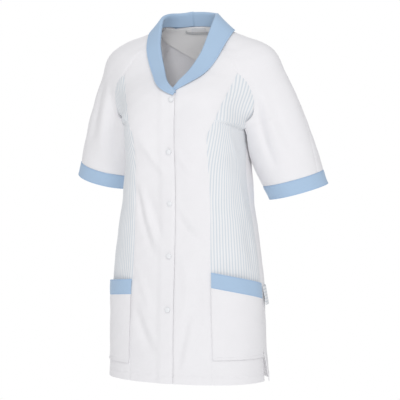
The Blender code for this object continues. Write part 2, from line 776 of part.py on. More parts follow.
def inside_neck(angles, drops, depth):
    """Points inside the back of the neck, drops below its seam and depth in from the form."""
    points = at_angles(neck_height(angles) - drops, angles)
    return points - unit(slope(body_field, points)) * depth


u = np.linspace(-1, 1, 15)
v = np.linspace(0, 1, 7)[:, None]
facing_angles = np.broadcast_to(180 + FACING_SPREAD * u, (7, 15))
facing_drop = 0.0012 + (0.003 + (FACING_DEPTH - 0.003) * (1 - np.abs(u) ** FACING_CURVE)) * (1 - v)
facing_out = inside_neck(facing_angles, facing_drop, CLOTH + FACING_GAP)
facing_in = inside_neck(facing_angles, facing_drop, 2 * CLOTH + FACING_GAP)
cloth_wall("back_neck_facing", facing_out, facing_in, PALE)


def across_back(width, count):
    """Angles that spread a small trim of this width about the centre back."""
    radius = float(torso_size("back", -0.01) - torso_size("middle", -0.01))
    return 180 + np.degrees(np.linspace(-width / 2, width / 2, count) / radius)


label_depth = 2 * CLOTH + FACING_GAP + LAYER_GAP
label_angles = np.broadcast_to(across_back(LABEL_SIZE[0], 5), (3, 5))
label_drop = np.broadcast_to(0.0015 + LABEL_SIZE[1] * np.array([[1.0], [0.5], [0.0]]), (3, 5))
label_out = inside_neck(label_angles, label_drop, label_depth)
label_in = inside_neck(label_angles, label_drop, label_depth + 0.0008)
cloth_wall("size_label", label_out, label_in, WHITE)

loop_share = np.linspace(-1, 1, 13)
loop_drop = 0.0035 + LOOP_DROP * np.sqrt(np.maximum(1 - loop_share**2, 0.0))
loop_angles = np.broadcast_to(across_back(2 * LOOP_SPREAD, 13), (2, 13))
loop_drops = loop_drop + np.array([[0.0042], [0.0]])
loop_out = inside_neck(loop_angles, loop_drops, label_depth + 0.0011)
loop_in = inside_neck(loop_angles, loop_drops, label_depth + 0.0021)
cloth_wall("hanger_loop", loop_out, loop_in, WHITE)

# Pockets with their bands, and the belt across the back


def pocket_points(shares, heights):
    """Points on the body between the princess seam, at 0, and the side seam, at 1."""
    seam_x = through(PRINCESS_HEIGHTS, princess_seam[:, 0], heights)
    seam_y = through(PRINCESS_HEIGHTS, princess_seam[:, 1], heights)
    start = np.degrees(np.arctan2(seam_x, torso_size("middle", heights) - seam_y))
    stop = side_angle(heights)
    return at_angles(heights, start + (stop - start) * shares)


def pocket_lift(shares, rise):
    """How far a pocket stands off the body, from 0 at its bottom seam to its mouth at 1."""
    lying = CLOTH + LAYER_GAP
    belly = np.clip(4 * shares * (1 - shares), 0, 1) ** 0.7
    return lying + POCKET_MOUTH * belly * smooth_step(0.0, 1.15, rise) ** 1.1


def pocket_top(shares, drop, slant):
    """The mouth's heights, from the princess seam down to the side seam."""
    return POCKET_BAND_TOP - drop - slant * shares**1.2


across = np.linspace(0.012, 0.985, POCKET_COLUMNS + 1)
POCKET_SIDES = (("left", 0.0, POCKET_BAND_DROP), ("right", RIGHT_POCKET_DROP, RIGHT_POCKET_SLANT))
for side, drop, slant in POCKET_SIDES:
    top = pocket_top(across, drop, slant)
    bottom = POCKET_BOTTOM - drop / 5
    pocket_rows = bottom + (top - POCKET_BAND_WIDTH - bottom) * np.linspace(0, 1, 6)[:, None]
    band_rows = top - POCKET_BAND_WIDTH * (1 - np.linspace(0, 1, 3)[:, None])
    for name, rows, colour in (("pocket", pocket_rows, WHITE), ("pocket_band", band_rows, BLUE)):
        places = np.broadcast_to(across, rows.shape)
        raised = pocket_lift(places, (rows - bottom) / (top - bottom))
        grid = pocket_points(places, rows)
        if side == "right":
            grid, raised = mirrored(grid), raised[:, ::-1]
        gaps = (0.0, SEAM_GAP, 0.0, 0.0) if name == "pocket" else (SEAM_GAP, 0.0, 0.0, 0.0)
        cloth_on(f"{name}_{side}", grid, body_field, colour, raised, gaps=gaps)

belt_angles = np.linspace(91.5, 268.5, BACK_COLUMNS + 1)
belt_heights = BELT_TOP - BELT_WIDTH * np.array([[1.0], [0.5], [0.0]])
belt_angles, belt_heights = np.broadcast_arrays(belt_angles, belt_heights)
belt = at_angles(belt_heights, belt_angles)
belt_drop = (BELT_TOP - belt_heights) / BELT_WIDTH
belt_raise = CLOTH + LAYER_GAP + 0.0006 + BELT_STAND_OFF * belt_drop
cloth_on("back_belt", belt, body_field, STRIPED, belt_raise, gaps=NO_GAPS)

# Snap caps on the right front


def snap(name, across, height):
    """A low domed cap whose base stands a hair off the cloth."""
    place = laid_on(body_field, np.array([across, float(torso_size("front", height)), height]))
    normal = unit(slope(body_field, place))
    upward = unit(np.array([0.0, 0.0, 1.0]) - normal * normal[2])
    turned = np.stack([np.cross(upward, normal), upward, normal], axis=1)
    place = place + normal * (OVERLAP_LIFT + float(folds(place)) + 0.0005)
    form = bmesh.new()
    bmesh.ops.create_cone(
        form, cap_ends=True, segments=20, radius1=SNAP_RADIUS, radius2=SNAP_RADIUS, depth=SNAP_RISE
    )
    rim = [e for e in form.edges if all(v.co.z > 0 for v in e.verts) and len(e.link_faces) == 2]
    bmesh.ops.bevel(form, geom=rim, offset=SNAP_RISE * 0.85, segments=3, profile=0.6, affect="EDGES")
    for vertex in form.verts:
        x, y, z = vertex.co
        vertex.co = turned @ np.array([x, y, z + SNAP_RISE / 2])
    bmesh.ops.recalc_face_normals(form, faces=form.faces)
    mesh = bpy.data.meshes.new(name)
    form.to_mesh(mesh)
    form.free()
    mesh.materials.append(finish(name, WHITE, 0.35))
    made = bpy.data.objects.new(name, mesh)
    made.location = place
    garment.objects.link(made)


for number, (across, height) in enumerate(SNAPS, start=1):
    snap(f"snap_{number}", across, height)
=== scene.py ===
# %% [markdown]
# # Medical tunic
#
# A short-sleeved work tunic, filled out as it is worn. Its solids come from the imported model. This
# lesson dresses them: every panel becomes a fine sheet of cloth with creases, seams and stitches.

# %% Load the solids
import math
from collections import namedtuple

import bmesh
import bpy
import numpy as np
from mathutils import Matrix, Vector


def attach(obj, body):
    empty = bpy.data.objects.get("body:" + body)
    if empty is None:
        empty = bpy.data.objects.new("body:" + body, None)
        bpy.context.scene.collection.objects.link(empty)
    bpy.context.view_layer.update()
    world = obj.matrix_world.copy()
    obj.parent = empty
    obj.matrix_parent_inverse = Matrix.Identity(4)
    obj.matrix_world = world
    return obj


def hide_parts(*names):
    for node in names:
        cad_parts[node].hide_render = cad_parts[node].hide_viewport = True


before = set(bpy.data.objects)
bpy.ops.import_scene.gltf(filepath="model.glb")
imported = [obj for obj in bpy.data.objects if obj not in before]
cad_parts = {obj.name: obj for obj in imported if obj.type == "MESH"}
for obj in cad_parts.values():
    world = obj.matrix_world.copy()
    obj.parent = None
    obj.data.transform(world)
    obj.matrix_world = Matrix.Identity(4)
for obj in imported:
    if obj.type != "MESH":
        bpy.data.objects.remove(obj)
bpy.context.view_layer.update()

bpy.ops.object.select_all(action="DESELECT")
print("solids", len(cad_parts))

# %% [markdown]
# ## Form
#
# A worn tunic has no flat panel. Its cloth lies on a torso and two arms, so the pieces are laid on a
# form: level sections for the torso and a tapering tube for each arm, run together at the shoulder.
# The sizes are the solids' own, so every sheet lies where its solid does. The one exception is the
# lower edge of the right pocket, which hangs 12 mm below its solid.

# %% Sizes of the form, in metres
CLOTH = 0.0012
HEM, ARMPIT, NECK_POINT, YOKE_TIP, HIDDEN_SEAM = -0.770, -0.223, -0.151, -0.109, -0.585
POCKET_BOTTOM, VENT_TOP, VENT_FLARE = -0.717, -0.690, 0.010
OVERLAP, OVERLAP_LIFT, UNDERLAP_SINK = 0.012, 0.0026, 0.0012
SNAPS = ((0.005, -0.163), (0.0, -0.274), (0.0, -0.385), (0.0, -0.497), (0.0, -0.6115))
CUFF_WIDTH, CUFF_TILT = 0.032, 0.12
POCKET_BAND_WIDTH, POCKET_BAND_DROP, POCKET_BAND_TOP = 0.033, 0.029, -0.530
POCKET_MOUTH, RIGHT_POCKET_DROP, RIGHT_POCKET_SLANT = 0.0065, 0.020, 0.014
BELT_WIDTH, BELT_TOP, BELT_STAND_OFF = 0.040, -0.565, 0.006
FACING_DEPTH, FACING_SPREAD, FACING_CURVE, FACING_GAP = 0.079, 80, 1.35, 0.0011
LABEL_SIZE, LOOP_SPREAD, LOOP_DROP = (0.036, 0.008), 0.030, 0.0075

SHOULDER = np.array([0.134, 0.000, -0.100])
ARM = np.array([0.385, 0.170, -1.000])
ARM = ARM / np.linalg.norm(ARM)
SLEEVE_LENGTH, RIGHT_SLEEVE_LENGTH, SLEEVE_CLEARANCE = 0.283, 0.263, 0.004
ARM_WIDTHS = ((-0.05, 0.066), (0.00, 0.071), (0.13, 0.0760), (0.28, 0.0655))
ARM_DEPTHS = ((-0.05, 0.046), (0.00, 0.049), (0.13, 0.057), (0.28, 0.0535))
ARM_CAP, BLEND = 0.060, 0.050

Section = namedtuple("Section", "height half_width front back middle power")
TORSO = (
    Section(-0.770, 0.1785, -0.1375, 0.108, -0.024, 2.2),
    Section(-0.640, 0.1745, -0.1345, 0.096, -0.024, 2.2),
    Section(-0.536, 0.1695, -0.1290, 0.088, -0.024, 2.2),
    Section(-0.479, 0.1615, -0.1255, 0.084, -0.024, 2.3),
    Section(-0.426, 0.1520, -0.1225, 0.083, -0.024, 2.5),
    Section(-0.391, 0.1440, -0.1212, 0.085, -0.024, 2.6),
    Section(-0.356, 0.1385, -0.1220, 0.087, -0.024, 2.8),
    Section(-0.306, 0.1335, -0.1240, 0.088, -0.022, 2.8),
    Section(-0.270, 0.1315, -0.1265, 0.088, -0.020, 2.8),
    Section(-0.222, 0.1330, -0.1265, 0.088, -0.016, 2.7),
    Section(-0.185, 0.1410, -0.1250, 0.087, -0.012, 2.5),
    Section(-0.145, 0.1560, -0.1195, 0.084, -0.008, 2.3),
    Section(-0.125, 0.1640, -0.1060, 0.082, -0.006, 2.2),
    Section(-0.106, 0.1700, -0.0880, 0.079, -0.005, 2.2),
    Section(-0.075, 0.1700, -0.0670, 0.073, -0.003, 2.2),
    Section(-0.055, 0.1580, -0.0560, 0.067, -0.002, 2.2),
    Section(-0.035, 0.1320, -0.0430, 0.059, -0.001, 2.2),
    Section(-0.016, 0.0980, -0.0340, 0.050, 0.000, 2.2),
    Section(0.000, 0.0640, -0.0300, 0.041, 0.000, 2.2),
    Section(0.030, 0.0480, -0.0260, 0.030, 0.000, 2.2),
)
Bust = namedtuple("Bust", "x y z fullness spread")
BUST = Bust(0.084, -0.112, -0.222, 0.015, 0.040)
SideSeam = namedtuple("SideSeam", "height angle")
SIDE_SEAM = (SideSeam(HEM, 90.0), SideSeam(-0.500, 90.0), SideSeam(-0.330, 93.0), SideSeam(ARMPIT, 97.0))

# Seam lines on the wearer's left, as points x, y, z near the cloth
NECKLINE = (
    (-0.012, -0.1210, NECK_POINT), (0.0050, -0.1180, -0.1425), (0.0240, -0.1050, -0.1260),
    (0.0420, -0.0840, -0.1020), (0.0590, -0.0600, -0.0750), (0.0670, -0.0450, -0.0540),
    (0.0690, -0.0320, -0.0350),
)
FRONT_RAGLAN_TIP = 3
FRONT_RAGLAN = (
    (0.0690, -0.0320, -0.0350), (0.0850, -0.0480, -0.0500), (0.1050, -0.0560, -0.0670),
    (0.1280, -0.0560, YOKE_TIP), (0.1480, -0.0560, -0.1260), (0.1565, -0.0460, -0.1500),
    (0.1590, -0.0360, -0.1680), (0.1530, -0.0280, -0.1920), (0.1400, -0.0180, -0.2140),
    (0.1320, -0.0040, ARMPIT),
)
BACK_RAGLAN = (
    (0.052, 0.032, -0.004), (0.078, 0.052, -0.045), (0.102, 0.068, -0.090), (0.122, 0.073, -0.128),
    (0.137, 0.066, -0.163), (0.142, 0.047, -0.196), (0.139, 0.020, -0.216), (0.132, -0.004, ARMPIT),
)
PRINCESS = (
    (0.0965, -0.120, HEM), (0.0957, -0.120, -0.706), (0.0925, -0.118, -0.620),
    (0.0892, -0.113, -0.507), (0.0880, -0.110, -0.450), (0.0870, -0.108, -0.400),
    (0.0865, -0.114, -0.339), (0.0862, -0.125, -0.270), (0.0880, -0.130, -0.240),
    (0.0980, -0.115, -0.207), (0.1105, -0.095, -0.164), (0.1280, -0.056, YOKE_TIP),
)

# %% Helpers for curves
def smooth_step(low, high, value):
    share = np.clip((value - low) / (high - low), 0.0, 1.0)
    return share * share * (3.0 - 2.0 * share)


def through(keys, values, at):
    """A smooth curve through values at rising keys, read at the places given."""
    keys = np.asarray(keys, float)
    values = np.asarray(values, float)
    slopes = np.gradient(values, keys)
    at = np.clip(at, keys[0], keys[-1])
    i = np.clip(np.searchsorted(keys, at) - 1, 0, len(keys) - 2)
    span = keys[i + 1] - keys[i]
    t = (at - keys[i]) / span
    rise = (1 + 2 * t) * (1 - t) ** 2 * values[i] + t * t * (3 - 2 * t) * values[i + 1]
    return rise + span * (t * (1 - t) ** 2 * slopes[i] - t * t * (1 - t) * slopes[i + 1])


def column(rows, name):
    return [getattr(row, name) for row in rows]


def torso_size(name, height):
    return through(column(TORSO, "height"), column(TORSO, name), height)


def unit(vectors):
    return vectors / np.maximum(np.linalg.norm(vectors, axis=-1, keepdims=True), 1e-12)


def spaced(points, count, fine=600):
    """A smooth line through the points, read at even spaces, ends included."""
    points = np.array(points, float)
    along = np.concatenate([[0], np.cumsum(np.linalg.norm(np.diff(points, axis=0), axis=1))])
    read = np.linspace(0, along[-1], fine)
    line = np.stack([through(along, points[:, k], read) for k in range(3)], axis=1)
    length = np.concatenate([[0], np.cumsum(np.linalg.norm(np.diff(line, axis=0), axis=1))])
    at = np.linspace(0, length[-1], count + 1)
    return np.stack([np.interp(at, length, line[:, k]) for k in range(3)], axis=1)


# %% The form as fields: below zero inside, above zero outside
def torso_field(points):
    x, y, z = points[..., 0], points[..., 1], points[..., 2]
    middle = torso_size("middle", z)
    front = middle - torso_size("front", z)
    back = torso_size("back", z) - middle
    deep = y - middle
    depth = np.where(deep < 0, front, back)
    half = torso_size("half_width", z)
    power = torso_size("power", z)
    ratio = np.maximum((np.abs(x / half) ** power + np.abs(deep / depth) ** power) ** (1 / power), 1e-6)
    away = np.hypot(x, deep) * (1 - 1 / ratio)
    to_bust = (np.abs(x) - BUST.x) ** 2 + (y - BUST.y) ** 2 + (z - BUST.z) ** 2
    return away - BUST.fullness * np.exp(-to_bust / (2 * BUST.spread**2))


ARM_IN = unit(np.array([ARM[2], 0.0, -ARM[0]]))
ARM_FRONT = np.cross(ARM_IN, ARM)


def along_arm(points):
    from_shoulder = points - SHOULDER
    from_shoulder[..., 0] = np.abs(points[..., 0]) - SHOULDER[0]
    return from_shoulder


def arm_field(points):
    from_shoulder = along_arm(points)
    along = from_shoulder @ ARM
    across = from_shoulder @ ARM_IN
    deep = from_shoulder @ ARM_FRONT
    places, widths = zip(*ARM_WIDTHS)
    depths = [depth for _, depth in ARM_DEPTHS]
    above = np.minimum(along, 0.0)
    wide = across / through(places, widths, along)
    thick = deep / through(places, depths, along)
    ratio = np.maximum(np.sqrt(wide**2 + thick**2 + (above / ARM_CAP) ** 2), 1e-6)
    return np.sqrt(across**2 + deep**2 + above**2) * (1 - 1 / ratio)


def soft_least(a, b):
    share = np.clip(0.5 + 0.5 * (b - a) / BLEND, 0.0, 1.0)
    return b * (1 - share) + a * share - BLEND * share * (1 - share)


def body_field(points):
    torso = torso_field(points)
    joined = soft_least(torso, arm_field(points))
    share = smooth_step(ARMPIT - 0.005, ARMPIT + 0.045, points[..., 2])
    return torso * (1 - share) + joined * share


def sleeve_field(points):
    arm = arm_field(points)
    torso = torso_field(points)
    joined = soft_least(torso, arm)
    clear = np.maximum(arm, SLEEVE_CLEARANCE - torso)
    share = smooth_step(0.085, 0.125, along_arm(points) @ ARM)
    return joined * (1 - share) + clear * share


def slope(field, points, step=0.0005):
    found = np.zeros(points.shape)
    for axis in range(3):
        shift = np.zeros(3)
        shift[axis] = step
        found[..., axis] = (field(points + shift) - field(points - shift)) / (2 * step)
    return found


def laid_on(field, points, rounds=6):
    """Points moved to the surface of the form by the shortest way."""
    points = np.array(points, float)
    for _ in range(rounds):
        rise = slope(field, points)
        size = np.sum(rise * rise, axis=-1, keepdims=True)
        points = points - field(points)[..., None] * rise / np.maximum(size, 1e-9)
    return points


def cast(field, start, direction, reach=0.34, step=0.006):
    """Where straight lines from inside the form first leave it."""
    low = np.full(direction.shape[:-1], step)
    found = np.zeros(low.shape, bool)
    for _ in range(int(reach / step)):
        found |= field(start + direction * (low + step)[..., None]) > 0
        low = np.where(found, low, low + step)
    high = low + step
    for _ in range(16):
        half = (low + high) / 2
        inside = field(start + direction * half[..., None]) < 0
        low = np.where(inside, half, low)
        high = np.where(inside, high, half)
    return start + direction * ((low + high) / 2)[..., None]


def at_angles(heights, angles):
    """Points on the torso at given heights and angles, 0 at the front and 90 at the wearer's left."""
    heights, angles = np.broadcast_arrays(np.asarray(heights, float), np.radians(angles))
    start = np.stack([0 * heights, torso_size("middle", heights), heights], axis=-1)
    direction = np.stack([np.sin(angles), -np.cos(angles), 0 * angles], axis=-1)
    return cast(body_field, start, direction)


def angle_of(point):
    middle = float(torso_size("middle", point[2]))
    return math.degrees(math.atan2(point[0], middle - point[1]))


print("form, width at the hem", round(2 * TORSO[0].half_width, 3))

# %% [markdown]
# ## Seams
#
# A tunic is cut as flat panels, and its shape comes from the seams between them. Each seam is read
# once at close steps, and both panels beside it use the same points, so they meet along it.

# %% Seam lines at close steps
LOWER_ROWS, UPPER_ROWS, ABOVE_TIP_ROWS, BELOW_TIP_ROWS = 54, 138, 28, 40
RAGLAN_ROWS = ABOVE_TIP_ROWS + BELOW_TIP_ROWS
FRONT_COLUMNS, BACK_COLUMNS, TUBE_ROWS, SLEEVE_COLUMNS = 34, 100, 40, 120

UPPER_SIDE = np.linspace(HIDDEN_SEAM, ARMPIT, UPPER_ROWS + 1)[1:]
UPPER_PRINCESS = np.linspace(HIDDEN_SEAM, YOKE_TIP, UPPER_ROWS + 1)[1:]
LOWER_HEIGHTS = np.linspace(HEM, HIDDEN_SEAM, LOWER_ROWS + 1)
SIDE_HEIGHTS = np.concatenate([LOWER_HEIGHTS, UPPER_SIDE])
PRINCESS_HEIGHTS = np.concatenate([LOWER_HEIGHTS, UPPER_PRINCESS])


def side_angle(heights):
    return through(column(SIDE_SEAM, "height"), column(SIDE_SEAM, "angle"), heights)


side_seam = at_angles(SIDE_HEIGHTS, side_angle(SIDE_HEIGHTS))
princess_points = np.array(PRINCESS)
princess_line = [through(princess_points[:, 2], princess_points[:, k], PRINCESS_HEIGHTS) for k in range(3)]
princess_seam = laid_on(body_field, np.stack(princess_line, axis=1))
above_tip = spaced(FRONT_RAGLAN[: FRONT_RAGLAN_TIP + 1], ABOVE_TIP_ROWS)
below_tip = spaced(FRONT_RAGLAN[FRONT_RAGLAN_TIP:], BELOW_TIP_ROWS)
front_raglan = laid_on(body_field, np.concatenate([above_tip, below_tip[1:]]))
front_raglan[ABOVE_TIP_ROWS] = princess_seam[-1]
front_raglan[-1] = side_seam[-1]
back_raglan = laid_on(body_field, spaced(BACK_RAGLAN, RAGLAN_ROWS))
back_raglan[-1] = side_seam[-1]
neckline = laid_on(body_field, spaced(NECKLINE, FRONT_COLUMNS))
neckline[-1] = front_raglan[0]
print("princess seam", round(float(np.linalg.norm(np.diff(princess_seam, axis=0), axis=1).sum()), 3))

# %% Grids of points for the panels on the wearer's left
def mirrored(grid):
    """The same grid on the wearer's right, its columns still running left to right from outside."""
    return (grid * [-1.0, 1.0, 1.0])[..., ::-1, :]


def patch(bottom, top, left, right):
    """A grid between four edge lines. Rows run from bottom to top and columns from left to right."""
    v = np.linspace(0, 1, len(left))[:, None, None]
    u = np.linspace(0, 1, len(bottom))[None, :, None]
    sides = (1 - u) * left[:, None] + u * right[:, None]
    ends = (1 - v) * bottom[None] + v * top[None]
    low = (1 - u) * bottom[0] + u * bottom[-1]
    high = (1 - u) * top[0] + u * top[-1]
    return sides + ends - ((1 - v) * low + v * high)


def along_hem(first, last, count):
    line = at_angles(first[2], np.linspace(angle_of(first), angle_of(last), count + 1))
    line[0], line[-1] = first, last
    return line


def front_grid():
    rows = LOWER_ROWS + UPPER_ROWS + ABOVE_TIP_ROWS
    heights = np.linspace(HEM, NECK_POINT, rows + 1)
    edge = np.stack([np.full(rows + 1, -OVERLAP), torso_size("front", heights), heights], axis=1)
    edge = laid_on(body_field, edge)
    edge[-1] = neckline[0]
    outer = np.concatenate([princess_seam, front_raglan[:ABOVE_TIP_ROWS][::-1]])
    grid = patch(along_hem(edge[0], outer[0], FRONT_COLUMNS), neckline, edge, outer)
    grid[1:-1, 1:-1] = laid_on(body_field, grid[1:-1, 1:-1])
    return grid


def side_grid():
    left, right = princess_seam[LOWER_ROWS:], side_seam[LOWER_ROWS:]
    bottom = along_hem(left[0], right[0], BELOW_TIP_ROWS)
    grid = patch(bottom, front_raglan[ABOVE_TIP_ROWS:], left, right)
    grid[1:-1, 1:-1] = laid_on(body_field, grid[1:-1, 1:-1])
    return grid


def lower_side_grid():
    left, right = princess_seam[: LOWER_ROWS + 1], side_seam[: LOWER_ROWS + 1]
    top = along_hem(left[-1], right[-1], BELOW_TIP_ROWS)
    grid = patch(along_hem(left[0], right[0], BELOW_TIP_ROWS), top, left, right)
    grid[1:-1, 1:-1] = laid_on(body_field, grid[1:-1, 1:-1])
    return grid


def back_grid():
    edge = np.concatenate([side_seam, back_raglan[:-1][::-1]])
    share = np.linspace(-1, 1, BACK_COLUMNS + 1)
    rise = ((edge[:, 2] - ARMPIT) / (edge[-1, 2] - ARMPIT)).clip(0, 1) ** 2
    heights = edge[:, 2:3] - edge[-1, 2] * rise[:, None] * (1 - share**2)[None, :]
    start = np.array([angle_of(point) for point in edge])
    grid = at_angles(heights, start[:, None] + (180 - start)[:, None] * (share + 1)[None, :])
    grid[:, 0] = edge
    grid[:, -1] = edge * [-1, 1, 1]
    return grid


# %% Grids of points for the sleeves and cuffs
NECK_CENTRE = np.array([0.030, 0.000, -0.060])
NECKWARD = unit(np.array([-0.80, 0.00, 0.60]))
ARMPIT_PLACE = float((side_seam[-1] - SHOULDER) @ ARM)


def cuffwards(share):
    """The way up the arm. Near the cuff it is tilted, so that the cuff hangs lower outside."""
    return unit(-ARM - ARM_IN * CUFF_TILT * share)


def turn_frame(centre, neckward):
    forward = unit(np.array([0.0, -1.0, 0.0]) + neckward * neckward[1])
    return centre, neckward, np.cross(neckward, forward), forward


def around(angles, outward, forward):
    return outward * np.cos(angles)[:, None] + forward * np.sin(angles)[:, None]


def sleeve_row(turn, first, last, columns):
    """A row over the arm from the front point to the back point, by the outer side."""
    centre, neckward, outward, forward = turn
    ends = []
    for point in (first, last):
        away = point - centre
        ends.append((math.atan2(away @ forward, away @ outward), away @ neckward))
    start = ends[0][0] % (2 * math.pi)
    stop = start - (start - ends[1][0]) % (2 * math.pi)
    if start - stop < 0.5:
        stop = start - 2 * math.pi
    angles = np.linspace(start, stop, columns + 1)
    base = centre + neckward * np.linspace(ends[0][1], ends[1][1], columns + 1)[:, None]
    row = cast(sleeve_field, base, around(angles, outward, forward))
    row[0], row[-1] = first, last
    return row


def raglan_rows():
    rows = []
    arm_centre = SHOULDER + ARM * ARMPIT_PLACE
    for i in range(RAGLAN_ROWS + 1):
        share = i / RAGLAN_ROWS
        centre = arm_centre * (1 - share) + NECK_CENTRE * share
        turn = turn_frame(centre, unit(-ARM * (1 - share) + NECKWARD * share))
        k = RAGLAN_ROWS - i
        rows.append(sleeve_row(turn, front_raglan[k], back_raglan[k], SLEEVE_COLUMNS))
    return np.array(rows)


def tube_rows(length, low, high, count, closed_start):
    """Rows round the arm between two distances from the shoulder."""
    rows = []
    turn = turn_frame(SHOULDER + ARM * ARMPIT_PLACE, -ARM)
    away = side_seam[-1] - turn[0]
    start = math.atan2(away @ turn[3], away @ turn[2])
    for place in np.linspace(low, high, count):
        share = np.clip((place - ARMPIT_PLACE) / (length - CUFF_WIDTH - ARMPIT_PLACE), 0, 1)
        centre, _, outward, forward = turn_frame(SHOULDER + ARM * place, cuffwards(share))
        first = start * (1 - share) + math.pi * share if closed_start else math.pi
        angles = np.linspace(first, first - 2 * math.pi, SLEEVE_COLUMNS + 1)
        rows.append(cast(sleeve_field, centre[None, :], around(angles, outward, forward)))
    return np.array(rows)


TOP_SEAM = round(SLEEVE_COLUMNS * 9 / 20)
upper_sleeve = raglan_rows()


def sleeve_grid(length):
    tube = tube_rows(length, length - CUFF_WIDTH, ARMPIT_PLACE, TUBE_ROWS + 1, True)
    return np.concatenate([tube[:-1], upper_sleeve])


print("sleeve columns", SLEEVE_COLUMNS)
